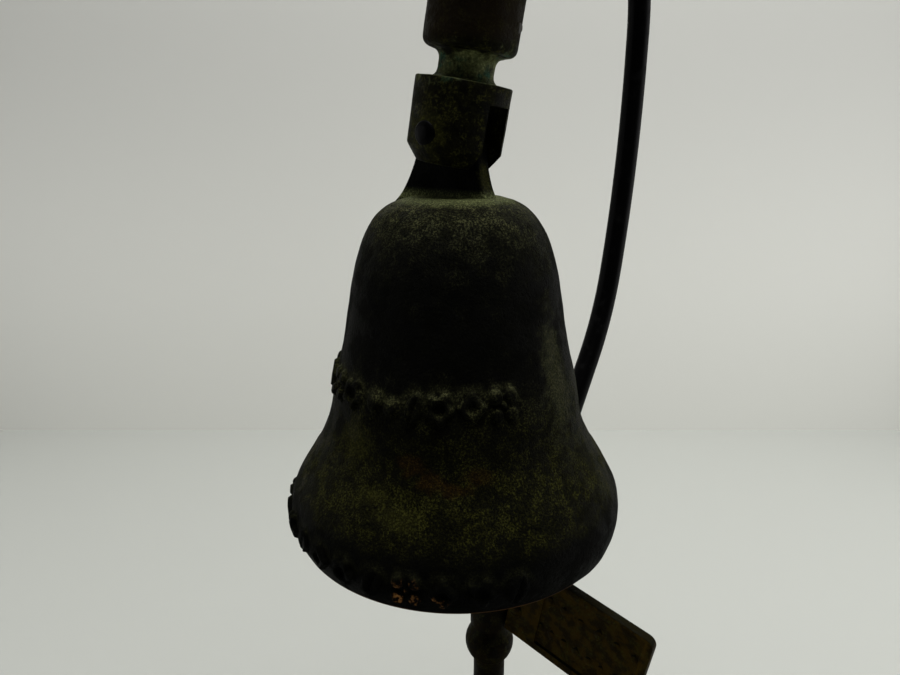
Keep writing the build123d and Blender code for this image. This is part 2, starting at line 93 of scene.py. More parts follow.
class BellSettings(bpy.types.PropertyGroup):
    """Sizes of the bell's casting and of its raised ornament."""

    steps: IntProperty(name="Steps", description="Facets round the bell", default=540, min=64)
    row_height: length("Ornament row height", "Height of the waist row's middle", 0.1542)
    row_tall: length("Ornament height", "How tall the waist row's motifs are", 0.0060)
    lip_height: length("Lip row height", "Height of the lip row's middle", 0.1279)
    lip_tall: length("Lip motif height", "How tall the lip row's motifs are", 0.0056)
    relief: length("Relief", "How far the motifs stand out", 0.00090)
    unevenness: length("Unevenness", "Slow waves left by the sand mould", 0.00016)
    crown_thickness: length("Crown thickness", "Metal under the lug", 0.0042)
    lug_thickness: length("Lug thickness", "Across the slot", 0.0036)
    lug_offset: length("Lug offset", "Along the pin from the bell's axis", 0.0005)
    lug_foot_width: length("Lug foot width", "Where the lug meets the crown", 0.0194)
    lug_foot_shift: length("Lug foot shift", "Of the foot away from the sign", 0.0025)
    lug_pin_width: length("Lug width", "At the pin", 0.0126)
    lug_pin_shift: length("Lug shift", "Of the lug away from the sign, at the pin", 0.0011)
    lug_crest: length("Lug crest", "Above the pin", 0.0046)
    hole_radius: length("Lug hole radius", "Running fit on the clevis pin", 0.00165)


class HangerSettings(bpy.types.PropertyGroup):
    """Sizes of the clevis, its pin and the socket, along the swivel's axis from the pin."""

    clevis_radius: length("Clevis radius", "Outside radius", 0.00825)
    clevis_below: length("Clevis below pin", "Depth of the cheeks", 0.0047)
    clevis_above: length("Clevis above pin", "Height of the flat top", 0.0089)
    slot_width: length("Slot width", "Gap that takes the lug", 0.0056)
    slot_offset: length("Slot offset", "Along the pin from the clevis's middle", 0.0005)
    slot_above: length("Slot above pin", "Roof of the slot", 0.0058)
    neck_radius: length("Neck radius", "Waist of the neck", 0.00475)
    neck_length: length("Neck length", "Between clevis and socket", 0.0046)
    neck_cove: length("Neck cove", "Radius where the neck spreads to its ends", 0.0016)
    stem_radius: length("Stem radius", "Turns in the socket", 0.00255)
    stem_length: length("Stem length", "Held by the retaining pin", 0.0080)
    seat_gap: length("Seat gap", "Between the neck and the socket", 0.0001)
    socket_radius: length("Socket radius", "Outside radius", 0.00795)
    socket_length: length("Socket length", "Outside length", 0.0160)
    socket_rounding: length("Socket rounding", "Of its lower edge", 0.0013)
    arm_bore: length("Arm bore", "Depth of the rod in the socket", 0.0052)
    rod_radius: length("Rod radius", "Of the bent arm", 0.0026)
    pin_radius: length("Pin radius", "Of the clevis pin", 0.0016)
    pin_head_radius: length("Pin head radius", "Peened over on both sides", 0.00225)
    screw_radius: length("Screw radius", "Shank of the set screw", 0.0015)
    screw_head_radius: length("Screw head radius", "Head of the set screw", 0.00225)
    screw_head: length("Screw head", "Height of the set screw's head", 0.0014)


class StandSettings(bpy.types.PropertyGroup):
    """Sizes of the base and the post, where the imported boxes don't give them."""

    bore: length("Bore", "Hole through the base for the post's foot", 0.0031)
    boss_radius: length("Boss radius", "Ring that the collar stands on", 0.0110)
    recess_radius: length("Recess radius", "Hollow for the weight", 0.0510)
    recess_depth: length("Recess depth", "Hollow for the weight", 0.0050)
    spigot_radius: length("Spigot radius", "Of the post in the base and in the sleeve", 0.0030)
    shaft_radius: length("Shaft radius", "Of the post between collar and bead", 0.00365)
    bead_height: length("Bead height", "Of the bead with its shoulder", 0.0100)
    shoulder_radius: length("Shoulder radius", "That carries the sign's sleeve", 0.0039)
    tip_radius: length("Tip radius", "Of the post in its head", 0.0022)
    collar_bore: length("Collar bore", "Radius of the hole in the foot collar", 0.00305)


class SignSettings(bpy.types.PropertyGroup):
    """Sizes of the sign plate, measured from the post's axis."""

    half_height: length("Half height", "Of the plate", 0.01025)
    near_end: length("Near end", "Where the plate starts", 0.0066)
    far_end: length("Far end", "Where the plate stops", 0.0379)
    clip: length("Clip", "Length of the corners cut off beside the sleeve", 0.0060)
    corner: length("Corner", "Radius of the free corners", 0.0018)
    height: length("Height", "Of the plate's axis above the sleeve's foot", 0.0124)
    marks_middle: length("Marks middle", "Of the stamped rows", 0.0252)
    rivet_place: length("Rivet place", "Of the rivets along the plate", 0.0082)
    rivet_spread: length("Rivet spread", "Of each rivet from the plate's axis", 0.0035)
    thickness: length("Thickness", "Of the plate", 0.0020)
    border: length("Border", "Width of the raised border", 0.0018)
    sunk: length("Sunk", "Depth of the field inside the border", 0.0005)
    droop: FloatProperty(
        name="Droop", description="How far the free end hangs", default=math.radians(10), subtype="ANGLE"
    )


class FinishSettings(bpy.types.PropertyGroup):
    """Colours of the finishes."""

    patina: colour("Patina", "Darkest brown of the bell", (0.0011, 0.0012, 0.0007))
    olive: colour("Olive", "Green-brown bloom on the bell", (0.032, 0.032, 0.0055))
    verdigris: colour("Verdigris", "Pale dusty green in the coves", (0.115, 0.130, 0.052))
    bloom: colour("Bloom", "Blue-green patches in the verdigris", (0.045, 0.150, 0.085))
    dust: colour("Dust", "Grey-green grains that the sand-cast skin holds", (0.070, 0.072, 0.030))
    rust: colour("Rust", "Orange-brown stain", (0.046, 0.022, 0.0034))
    rubbed: colour("Rubbed bronze", "Metal showing where it is handled", (0.50, 0.23, 0.07))
    skin: colour("Skin", "Black-olive of the hanger", (0.0046, 0.0045, 0.0009))
    brown: colour("Brown", "Brown patina of the turned pieces", (0.0085, 0.0052, 0.0013))
    plate: colour("Plate", "Golden brown of the sign plate", (0.034, 0.020, 0.0016))
    black: colour("Black", "Oxidised iron", (0.0016, 0.0016, 0.0016))
    iron: colour("Iron", "Forged clapper", (0.030, 0.020, 0.014))
    steel: colour("Steel", "Screws, nut, washer and swivel pin", (0.11, 0.105, 0.095))
    felt: colour("Felt", "Underside of the base", (0.030, 0.085, 0.050))


class StageSettings(bpy.types.PropertyGroup):
    """Camera, backdrop and lights."""

    focal: FloatProperty(name="Focal length", description="Millimetres on a 36 mm sensor", default=26.08)
    pitch: FloatProperty(
        name="Pitch", description="How far the camera looks down", default=math.radians(16.6), subtype="ANGLE"
    )
    heading: FloatProperty(
        name="Heading", description="Direction of view from +X", default=math.radians(40.0), subtype="ANGLE"
    )
    eye: FloatVectorProperty(
        name="Eye", description="Camera place", default=(-0.1035, -0.0747, 0.195), subtype="TRANSLATION"
    )
    wall_distance: length("Wall distance", "From the camera, level", 0.424)
    wall_light: FloatProperty(name="Wall light", description="Watts on the backdrop", default=5.3)
    top_light: FloatProperty(name="Top light", description="Watts from overhead", default=1.6)
    side_light: FloatProperty(name="Side light", description="Watts from each side", default=0.36)
    world_light: FloatProperty(name="World light", description="Strength of the even light", default=0.022)


# ---- mesh helpers ---------------------------------------------------------------------------


def lathe(outline, steps, rounding=0.0, longest=None):
    """Spins (radius, height) points round Z. Points between the ends may be rounded first."""
    bm = bmesh.new()
    verts = [bm.verts.new((radius, 0, height)) for radius, height in outline]
    for pair in zip(verts, verts[1:]):
        bm.edges.new(pair)
    if outline[0][0] > 0:
        bm.edges.new((verts[-1], verts[0]))
    corners = [v for v in verts if len(v.link_edges) == 2]
    if rounding:
        bmesh.ops.bevel(
            bm,
            geom=corners,
            offset=rounding,
            offset_type="OFFSET",
            segments=4,
            profile=0.5,
            affect="VERTICES",
            clamp_overlap=True,
            material=-1,
        )
    if longest:
        for edge in [e for e in bm.edges if e.calc_length() > longest]:
            bmesh.ops.subdivide_edges(bm, edges=[edge], cuts=int(edge.calc_length() / longest))
    bmesh.ops.spin(
        bm,
        geom=bm.verts[:] + bm.edges[:],
        cent=(0, 0, 0),
        axis=(0, 0, 1),
        angle=math.tau,
        steps=steps,
        use_merge=True,
    )
    bmesh.ops.remove_doubles(bm, verts=bm.verts, dist=1e-6)
    bmesh.ops.recalc_face_normals(bm, faces=bm.faces)
    return bm


def block(low, high, rounding=0.0):
    """A box between two corners, with rounded edges."""
    bm = bmesh.new()
    bmesh.ops.create_cube(bm, size=1)
    size = Vector(high) - Vector(low)
    bmesh.ops.scale(bm, vec=size, verts=bm.verts)
    bmesh.ops.translate(bm, vec=(Vector(low) + Vector(high)) / 2, verts=bm.verts)
    if rounding:
        round_edges(bm, bm.edges, rounding)
    return bm


def round_edges(bm, edges, width, segments=3):
    bmesh.ops.bevel(
        bm,
        geom=list(edges),
        offset=width,
        offset_type="OFFSET",
        segments=segments,
        profile=0.5,
        affect="EDGES",
        clamp_overlap=True,
        material=-1,
    )


def rod(radius, low, high, steps=48):
    """A plain cylinder on Z, for cutting."""
    return lathe([(0, low), (radius, low), (radius, high), (0, high)], steps)


def roughen(bm, depth, size, seed=0.0):
    """Moves each vertex along its normal by smooth noise, in waves of about the given size."""
    bm.normal_update()
    shift = Vector((seed, seed * 1.7, -seed))
    moves = [v.normal * depth * noise.noise(v.co / size + shift) for v in bm.verts]
    for vert, move in zip(bm.verts, moves):
        vert.co += move


def to_object(bm, name, matrix=None):
    if matrix:
        bmesh.ops.transform(bm, matrix=matrix, verts=bm.verts)
    mesh = bpy.data.meshes.new(name)
    bm.to_mesh(mesh)
    bm.free()
    obj = bpy.data.objects.new(name, mesh)
    bpy.context.scene.collection.objects.link(obj)
    return obj


def cut(obj, cutter):
    """Takes the cutter's shape out of the piece for good."""
    modifier = obj.modifiers.new("cut", "BOOLEAN")
    modifier.operation = "DIFFERENCE"
    modifier.solver = "EXACT"
    modifier.object = cutter
    graph = bpy.context.evaluated_depsgraph_get()
    mesh = bpy.data.meshes.new_from_object(obj.evaluated_get(graph))
    obj.modifiers.clear()
    obj.data = mesh
    bpy.data.objects.remove(cutter)


def soften(obj, width, angle=35):
    """Rounds the sharp edges and shades the rest smooth."""
    bevel = obj.modifiers.new("worn edges", "BEVEL")
    bevel.width = width
    bevel.segments = 3
    bevel.limit_method = "ANGLE"
    bevel.angle_limit = math.radians(angle)
    bevel.harden_normals = True


def finish_piece(obj, body, slot, material, *nodes):
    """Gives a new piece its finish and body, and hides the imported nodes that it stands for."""
    obj.data.polygons.foreach_set("use_smooth", [True] * len(obj.data.polygons))
    obj.data.materials.clear()
    obj.data.materials.append(material)
    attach(obj, body)
    if nodes:
        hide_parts(*nodes)


def paint_node(node, material):
    """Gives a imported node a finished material."""
    obj = frame["nodes"][node]
    if not obj.material_slots:
        obj.data.materials.append(material)
    for slot in obj.material_slots:
        slot.material = material


# ---- material helpers -----------------------------------------------------------------------


def add(tree, kind, values=None, **settings):
    """Adds a node. Values are numbers or sockets by input name or index."""
    node = tree.nodes.new(kind)
    for key, value in settings.items():
        setattr(node, key, value)
    for key, value in (values or {}).items():
        if isinstance(value, bpy.types.NodeSocket):
            tree.links.new(value, node.inputs[key])
        else:
            node.inputs[key].default_value = value
    return node


def mix(tree, mask, first, second):
    """The colour socket of a mix from the first to the second colour."""
    node = add(tree, "ShaderNodeMix", {0: mask, 6: first, 7: second}, data_type="RGBA")
    return node.outputs[2]


def ramp(tree, value, low, high, start=0.0, end=1.0):
    """Maps low..high to start..end, smoothly."""
    values = {"Value": value, "From Min": low, "From Max": high, "To Min": start, "To Max": end}
    return add(tree, "ShaderNodeMapRange", values, interpolation_type="SMOOTHSTEP").outputs[0]


def maths(tree, operation, first, second=0.0):
    return add(tree, "ShaderNodeMath", {0: first, 1: second}, operation=operation).outputs[0]


def group(name, inputs, outputs):
    """A new shader node group with its ends, from (name, kind, default) inputs and (name, kind) outputs."""
    tree = bpy.data.node_groups.new(name, "ShaderNodeTree")
    for label, kind, default in inputs:
        tree.interface.new_socket(name=label, in_out="INPUT", socket_type=kind).default_value = default
    for label, kind in outputs:
        tree.interface.new_socket(name=label, in_out="OUTPUT", socket_type=kind)
    return tree, tree.nodes.new("NodeGroupInput"), tree.nodes.new("NodeGroupOutput")


def cast_grain_group():
    """Sand-cast skin: grit and pits as one height, and bright grains as a mask."""
    tree, start, end = group(
        "cast_grain",
        [("Grit Size", "NodeSocketFloat", 2400.0), ("Pits", "NodeSocketFloat", 0.5)],
        [("Height", "NodeSocketFloat"), ("Grains", "NodeSocketFloat")],
    )
    place = add(tree, "ShaderNodeTexCoord").outputs["Object"]
    values = {"Vector": place, "Scale": start.outputs[0], "Detail": 4.0, "Roughness": 0.75}
    grit = add(tree, "ShaderNodeTexNoise", values).outputs[0]
    lumps = add(tree, "ShaderNodeTexNoise", {"Vector": place, "Scale": 700.0, "Detail": 4.0}).outputs[0]
    cells = add(tree, "ShaderNodeTexVoronoi", {"Vector": place, "Scale": 900.0, "Randomness": 1.0}).outputs[0]
    pits = maths(tree, "MULTIPLY", ramp(tree, cells, 0.34, 0.12), start.outputs[1])
    height = maths(tree, "ADD", maths(tree, "MULTIPLY", grit, 0.8), maths(tree, "MULTIPLY", lumps, 0.5))
    tree.links.new(maths(tree, "SUBTRACT", height, maths(tree, "MULTIPLY", pits, 0.35)), end.inputs[0])
    tree.links.new(ramp(tree, grit, 0.46, 0.66), end.inputs[1])
    return tree


def blotch_group():
    """Ragged patches of a chosen size and cover."""
    tree, start, end = group(
        "blotches",
        [
            ("Size", "NodeSocketFloat", 120.0),
            ("Edge", "NodeSocketFloat", 0.5),
            ("Seed", "NodeSocketFloat", 0.0),
        ],
        [("Mask", "NodeSocketFloat")],
    )
    place = add(tree, "ShaderNodeTexCoord").outputs["Object"]
    values = {"Vector": place, "W": start.outputs[2], "Scale": start.outputs[0], "Detail": 7.0}
    values["Roughness"] = 0.62
    cloud = add(tree, "ShaderNodeTexNoise", values, noise_dimensions="4D").outputs[0]
    above = maths(tree, "ADD", start.outputs[1], 0.12)
    values = {"Value": cloud, "From Min": start.outputs[1], "From Max": above}
    tree.links.new(
        add(tree, "ShaderNodeMapRange", values, interpolation_type="SMOOTHSTEP").outputs[0], end.inputs[0]
    )
    return tree


def spot_group():
    """One ragged spot round a place, with a size along each axis."""
    tree, start, end = group(
        "ragged_spot",
        [("Centre", "NodeSocketVector", (0, 0, 0)), ("Size", "NodeSocketVector", (0.01, 0.01, 0.01))],
        [("Mask", "NodeSocketFloat")],
    )
    place = add(tree, "ShaderNodeTexCoord").outputs["Object"]
    away = add(tree, "ShaderNodeVectorMath", {0: place, 1: start.outputs[0]}, operation="SUBTRACT").outputs[0]
    share = add(tree, "ShaderNodeVectorMath", {0: away, 1: start.outputs[1]}, operation="DIVIDE").outputs[0]
    reach = add(tree, "ShaderNodeVectorMath", {0: share}, operation="LENGTH").outputs[1]
    ragged = add(
        tree, "ShaderNodeTexNoise", {"Vector": place, "Scale": 430.0, "Detail": 6.0, "Roughness": 0.7}
    ).outputs[0]
    frayed = maths(tree, "ADD", reach, maths(tree, "MULTIPLY", maths(tree, "SUBTRACT", ragged, 0.5), 2.4))
    tree.links.new(ramp(tree, frayed, 1.1, 0.3), end.inputs[0])
    return tree


def dust_group():
    """Dust and bloom that settle on faces that look up."""
    tree, start, end = group(
        "settled_dust",
        [("Steepest", "NodeSocketFloat", 0.35), ("Broken", "NodeSocketFloat", 0.35)],
        [("Mask", "NodeSocketFloat")],
    )
    coordinates = add(tree, "ShaderNodeTexCoord")
    facing = add(tree, "ShaderNodeSeparateXYZ", {0: coordinates.outputs["Normal"]}).outputs[2]
    cloud = add(
        tree, "ShaderNodeTexNoise", {"Vector": coordinates.outputs["Object"], "Scale": 380.0, "Detail": 6.0}
    ).outputs[0]
    broken = maths(tree, "MULTIPLY", maths(tree, "SUBTRACT", cloud, 0.5), start.outputs[1])
    values = {"Value": maths(tree, "ADD", facing, broken), "From Min": start.outputs[0], "From Max": 1.0}
    tree.links.new(add(tree, "ShaderNodeMapRange", values).outputs[0], end.inputs[0])
    return tree


GROUP_MAKERS = {
    "cast_grain": cast_grain_group,
    "blotches": blotch_group,
    "ragged_spot": spot_group,
    "settled_dust": dust_group,
}


def effect(tree, name, values=None, output=0):
    """The output of a shared effect, whose group is built the first time it is asked for."""
    shared = bpy.data.node_groups.get(name) or GROUP_MAKERS[name]()
    node = tree.nodes.new("ShaderNodeGroup")
    node.node_tree = shared
    for key, value in (values or {}).items():
        node.inputs[key].default_value = value
    return node.outputs[output]


def new_material(name):
    material = bpy.data.materials.new(name)
    material.use_nodes = True
    tree = material.node_tree
    tree.nodes.clear()
    shader = add(tree, "ShaderNodeBsdfPrincipled")
    output = add(tree, "ShaderNodeOutputMaterial", {"Surface": shader.outputs[0]})
    output.location = (300, 0)
    return material, tree, shader


def bump(tree, shader, height, strength, distance):
    node = add(tree, "ShaderNodeBump", {"Height": height, "Strength": strength, "Distance": distance})
    tree.links.new(node.outputs[0], shader.inputs["Normal"])


def grainy(tree, grains, gain, floor):
    """A cover that is thin between the grains."""
    return maths(tree, "ADD", maths(tree, "MULTIPLY", grains, gain), floor)


def principled(material):
    """The material's shader, and the socket that feeds its colour."""
    shader = next(node for node in material.node_tree.nodes if node.type == "BSDF_PRINCIPLED")
    return shader, shader.inputs["Base Color"].links[0].from_socket


def rgba(value):
    return (*value, 1.0)


def shade(value, factor):
    return tuple(min(1.0, channel * factor) for channel in value) + (1.0,)


# ---- finishes -------------------------------------------------------------------------------


def bell_place(angle, height, radius):
    """A place on the bell from its angle round the axis, in degrees from +X, and its height."""
    turn = math.radians(angle)
    return (PIN.x + radius * math.cos(turn), PIN.y + radius * math.sin(turn), height)


# heights on the bell between which a finish fades
TINT_TURNS = (0.149, 0.158)
FLARE_ENDS = (0.159, 0.151)
FLARE_STARTS = (0.1315, 0.1375)
# below these heights the lip band is painted dark: painted shade where the lip turns down and in
LIP_PAINTED_SHADE = (0.1300, 0.1340)
# the dust and painted highlight on the motifs' upper outlines grow stronger between these heights
LEDGE_DUST_AND_HIGHLIGHT_GROWS = (0.126, 0.150)


def bell_finish(finishes):
    """Sand-cast bronze, near black, with dust on what looks up, a rust stain and rubbed high spots."""
    material, tree, shader = new_material("cast_bell_bronze")
    place = add(tree, "ShaderNodeTexCoord").outputs["Object"]
    height = add(tree, "ShaderNodeSeparateXYZ", {0: place}).outputs[2]
    grains = effect(tree, "cast_grain", {"Grit Size": 3000.0, "Pits": 0.5}, 1)
    cloud = effect(tree, "blotches", {"Size": 210.0, "Edge": 0.40, "Seed": 3.0})
    clear = effect(tree, "blotches", {"Size": 480.0, "Edge": 0.42, "Seed": 5.0})
    patches = grainy(tree, maths(tree, "MULTIPLY", cloud, clear), 0.75, 0.25)
    # the flare is olive, the body above the waist row grey-green
    tint = mix(tree, ramp(tree, height, *TINT_TURNS), rgba(finishes.olive), rgba(finishes.dust))
    dust = effect(tree, "settled_dust", {"Steepest": 0.22, "Broken": 0.45})
    flare = maths(tree, "MULTIPLY", ramp(tree, height, *FLARE_ENDS), ramp(tree, height, *FLARE_STARTS))
    film = maths(tree, "ADD", grainy(tree, flare, 0.43, 0.018), dust)
    film = maths(tree, "MULTIPLY", film, patches)
    # the film drops to 0.12 of its strength on the lip band, a painted shade
    film = maths(tree, "MULTIPLY", film, ramp(tree, height, *LIP_PAINTED_SHADE, 0.12, 1.0))
    cover = {0: film, 1: grainy(tree, grains, 1.5, 0.12)}
    film = add(tree, "ShaderNodeMath", cover, operation="MULTIPLY", use_clamp=True).outputs[0]
    base = mix(tree, film, rgba(finishes.patina), tint)
    # colour, strength, angle round the bell, height, radius, size along each axis: stains, and one streak of
    # painted sheen
    spots = (
        (finishes.olive, 1.3, 200.0, 0.1375, 0.0272, (0.0040, 0.0055, 0.0018)),
        (finishes.olive, 1.3, 191.0, 0.1400, 0.0262, (0.0035, 0.0040, 0.0018)),
        (finishes.olive, 1.5, 174.0, 0.1470, 0.0236, (0.0040, 0.0050, 0.0050)),
        # a tall streak on the right flank: painted sheen in the dust's grey-green, where that flank catches
        # the light
        (finishes.dust, 0.9, 272.0, 0.1580, 0.0220, (0.0040, 0.0050, 0.0160)),
        (finishes.rust, 0.75, 203.0, 0.1452, 0.0240, (0.0020, 0.0030, 0.0024)),
        (finishes.rust, 0.75, 210.0, 0.1430, 0.0250, (0.0028, 0.0034, 0.0017)),
        (finishes.rust, 0.65, 219.0, 0.1422, 0.0254, (0.0036, 0.0034, 0.0014)),
        (finishes.rust, 0.55, 228.0, 0.1438, 0.0246, (0.0038, 0.0030, 0.0016)),
        (finishes.olive, 1.7, -88.0, PIN.z - 0.0055, 0.0064, (0.0026, 0.0012, 0.0042)),
    )
    share = grainy(tree, grains, 0.55, 0.18)
    for stain, strength, angle, level, radius, size in spots:
        mask = effect(tree, "ragged_spot", {"Centre": bell_place(angle, level, radius), "Size": size})
        base = mix(tree, maths(tree, "MULTIPLY", mask, share), base, shade(stain, strength))
    # a thin line of dust and painted highlight along the upper outline of each motif, where its top edge
    # catches the light
    ledge_dust_and_highlight = add(tree, "ShaderNodeAttribute", attribute_name="ledge_dust_and_highlight").outputs["Fac"]
    edge = maths(tree, "MULTIPLY", ledge_dust_and_highlight, grainy(tree, grains, 0.6, 0.15))
    edge = maths(tree, "MULTIPLY", edge, ramp(tree, height, *LEDGE_DUST_AND_HIGHLIGHT_GROWS, 0.2, 0.60))
    base = mix(tree, edge, base, rgba(finishes.dust))
    # pale dust in the corner between lug and crown
    below = ramp(tree, height, CROWN - 0.0012, CROWN)
    foot = maths(tree, "MULTIPLY", below, ramp(tree, height, CROWN + 0.0016, CROWN))
    foot = maths(tree, "MULTIPLY", foot, grainy(tree, grains, 0.75, 0.2))
    base = mix(tree, foot, base, shade(finishes.verdigris, 1.7))
    # rubbed metal on two motifs of the lip, and along the rim
    raised = add(tree, "ShaderNodeAttribute", attribute_name="raised").outputs["Fac"]
    large = {"Centre": bell_place(205.8, 0.1276, 0.0322), "Size": (0.0027, 0.0027, 0.0034)}
    small = {"Centre": bell_place(213.9, 0.1266, 0.0322), "Size": (0.0022, 0.0022, 0.0013)}
    touch = maths(tree, "ADD", effect(tree, "ragged_spot", large), effect(tree, "ragged_spot", small))
    chafed = effect(tree, "blotches", {"Size": 1500.0, "Edge": 0.47, "Seed": 8.0})
    rubbed = maths(tree, "MULTIPLY", ramp(tree, raised, 0.25, 0.8), maths(tree, "MULTIPLY", touch, chafed))
    rim = maths(tree, "MULTIPLY", ramp(tree, height, BELL_RIM + 0.0007, BELL_RIM + 0.0001), 0.28)
    metal = add(tree, "ShaderNodeMath", {0: rubbed, 1: rim}, operation="ADD", use_clamp=True).outputs[0]
    base = mix(tree, metal, base, shade(finishes.rubbed, 0.7))
    tree.links.new(base, shader.inputs["Base Color"])
    tree.links.new(maths(tree, "MULTIPLY", metal, 0.8), shader.inputs["Metallic"])
    worn = effect(tree, "blotches", {"Size": 160.0, "Edge": 0.45, "Seed": 9.0})
    tree.links.new(ramp(tree, worn, 0.0, 1.0, 0.55, 0.72), shader.inputs["Roughness"])
    shader.inputs["Specular IOR Level"].default_value = 0.02
    bump(tree, shader, effect(tree, "cast_grain", {"Grit Size": 2500.0, "Pits": 0.6}), 1.0, 0.00036)
    return material


def turned_finish(name, finishes, base, green, seed, grit=2600.0, depth=0.00010, ochre=0.9):
    """Old bronze with a dark skin, ochre and olive mottle, and verdigris on the faces that look up."""
    material, tree, shader = new_material(name)
    blotches = effect(tree, "blotches", {"Size": 420.0, "Edge": 0.44, "Seed": seed})
    tint = mix(tree, blotches, shade(base, 0.35), shade(base, 1.0))
    grains = effect(tree, "cast_grain", {"Grit Size": grit, "Pits": 0.8}, 1)
    mottle = effect(tree, "blotches", {"Size": 520.0, "Edge": 0.47, "Seed": seed + 2.0})
    mottle = maths(tree, "MULTIPLY", mottle, grainy(tree, grains, 0.8, 0.08))
    tint = mix(tree, mottle, tint, shade(finishes.olive, ochre))
    dust = effect(tree, "settled_dust", {"Steepest": 0.40, "Broken": 0.8})
    tint = mix(tree, maths(tree, "MULTIPLY", dust, green), tint, shade(finishes.verdigris, 0.7))
    tint = mix(tree, maths(tree, "MULTIPLY", grains, 0.05), tint, rgba(finishes.dust))
    tree.links.new(tint, shader.inputs["Base Color"])
    tree.links.new(ramp(tree, blotches, 0.0, 1.0, 0.50, 0.68), shader.inputs["Roughness"])
    shader.inputs["Specular IOR Level"].default_value = 0.03
    bump(tree, shader, effect(tree, "cast_grain", {"Grit Size": grit, "Pits": 0.8}), 0.8, depth)
    return material


def hanger_finish(finishes):
    """The hanger's bronze, with verdigris on the neck between clevis and socket, and a brown socket."""
    name = "aged_hanger_bronze"
    material = turned_finish(name, finishes, finishes.skin, 0.5, 21.0, grit=2300.0, depth=0.00024, ochre=1.3)
    tree = material.node_tree
    shader, under = principled(material)
    grains = effect(tree, "cast_grain", output=1)
    place = add(tree, "ShaderNodeTexCoord").outputs["Object"]
    height = add(tree, "ShaderNodeSeparateXYZ", {0: place}).outputs[2]
    warm = maths(tree, "MULTIPLY", ramp(tree, height, PIN.z + 0.0135, PIN.z + 0.0155), 0.75)
    under = mix(tree, warm, under, rgba(finishes.brown))
    # olive dirt round the pin's head
    eye = {"Centre": PIN - PIN_AXIS * 0.0080, "Size": (0.0042, 0.0042, 0.0042)}
    round_pin = maths(tree, "MULTIPLY", effect(tree, "ragged_spot", eye), grainy(tree, grains, 0.6, 0.2))
    under = mix(tree, round_pin, under, shade(finishes.olive, 1.8))
    # verdigris round the neck, blue-green in patches
    neck = {"Centre": PIN + SWIVEL_AXIS * 0.0108, "Size": (0.0082, 0.0082, 0.0042)}
    film = maths(tree, "MULTIPLY", effect(tree, "ragged_spot", neck), grainy(tree, grains, 0.6, 0.45))
    bloom = effect(tree, "blotches", {"Size": 300.0, "Edge": 0.50, "Seed": 25.0})
    green = mix(tree, bloom, shade(finishes.verdigris, 1.9), rgba(finishes.bloom))
    tree.links.new(mix(tree, film, under, green), shader.inputs["Base Color"])
    return material


def sign_finish(finishes):
    """The sign's brown bronze, with a dark skin on the edges that look up."""
    name = "aged_sign_bronze"
    material = turned_finish(name, finishes, finishes.plate, 0.0, 12.0, grit=2000.0, depth=0.00018, ochre=1.2)
    tree = material.node_tree
    shader, under = principled(material)
    edge = effect(tree, "settled_dust", {"Steepest": 0.25, "Broken": 0.3})
    edge = ramp(tree, edge, 0.0, 0.25, 0.0, 0.92)
    tree.links.new(mix(tree, edge, under, shade(finishes.skin, 0.8)), shader.inputs["Base Color"])
    return material


def iron_finish(name, finishes, base, seed, rough=(0.38, 0.55), rust=0.0):
    """Oxidised iron in light and dark blotches, with a little rust."""
    material, tree, shader = new_material(name)
    blotches = effect(tree, "blotches", {"Size": 310.0, "Edge": 0.52, "Seed": seed})
    tint = mix(tree, blotches, shade(base, 0.7), shade(base, 1.9))
    stain = effect(tree, "blotches", {"Size": 600.0, "Edge": 0.57, "Seed": seed + 1})
    tint = mix(tree, maths(tree, "MULTIPLY", stain, rust), tint, shade(finishes.rust, 0.6))
    tree.links.new(tint, shader.inputs["Base Color"])
    tree.links.new(ramp(tree, blotches, 0.0, 1.0, *rough), shader.inputs["Roughness"])
    shader.inputs["Specular IOR Level"].default_value = 0.035
    bump(tree, shader, effect(tree, "cast_grain", {"Grit Size": 2600.0, "Pits": 0.6}), 0.4, 0.00007)
    return material


def felt_finish(finishes):
    """Short matted felt."""
    material, tree, shader = new_material("base_felt_green")
    place = add(tree, "ShaderNodeTexCoord").outputs["Object"]
    values = {"Vector": place, "Scale": 2600.0, "Detail": 5.0, "Distortion": 1.2}
    fibres = add(tree, "ShaderNodeTexNoise", values).outputs[0]
    tint = mix(tree, fibres, shade(finishes.felt, 0.6), shade(finishes.felt, 1.5))
    tree.links.new(tint, shader.inputs["Base Color"])
    shader.inputs["Roughness"].default_value = 0.95
    shader.inputs["Sheen Weight"].default_value = 0.4
    bump(tree, shader, fibres, 0.8, 0.0003)
    return material


def finish(name):
    """The named finish, made the first time it is asked for."""
    finishes = bpy.context.scene.bell_finishes
    makers = {
        "cast_bell_bronze": lambda: bell_finish(finishes),
        "aged_hanger_bronze": lambda: hanger_finish(finishes),
        "aged_post_bronze": lambda: turned_finish(name, finishes, finishes.brown, 0.35, 4.0),
        "aged_sign_bronze": lambda: sign_finish(finishes),
        "aged_base_bronze": lambda: turned_finish(name, finishes, finishes.brown, 0.12, 15.0),
        "black_rod": lambda: iron_finish(name, finishes, finishes.black, 2.0),
        "forged_iron": lambda: iron_finish(name, finishes, finishes.iron, 6.0, (0.5, 0.7), 0.7),
        "dull_steel": lambda: iron_finish(name, finishes, finishes.steel, 8.0, (0.35, 0.5), 0.2),
        "base_felt_green": lambda: felt_finish(finishes),
    }
    return bpy.data.materials.get(name) or makers[name]()


# ---- the bell's ornament ----------------------------------------------------------------------


def smooth_step(low, high, value):
    """Rises from 0 to 1 as the value goes from low to high."""
    share = min(1.0, max(0.0, (value - low) / (high - low)))
    return share * share * (3 - 2 * share)


def pellet(across, up):
    """A round button."""
    return smooth_step(1.0, 0.35, math.hypot(across, up))


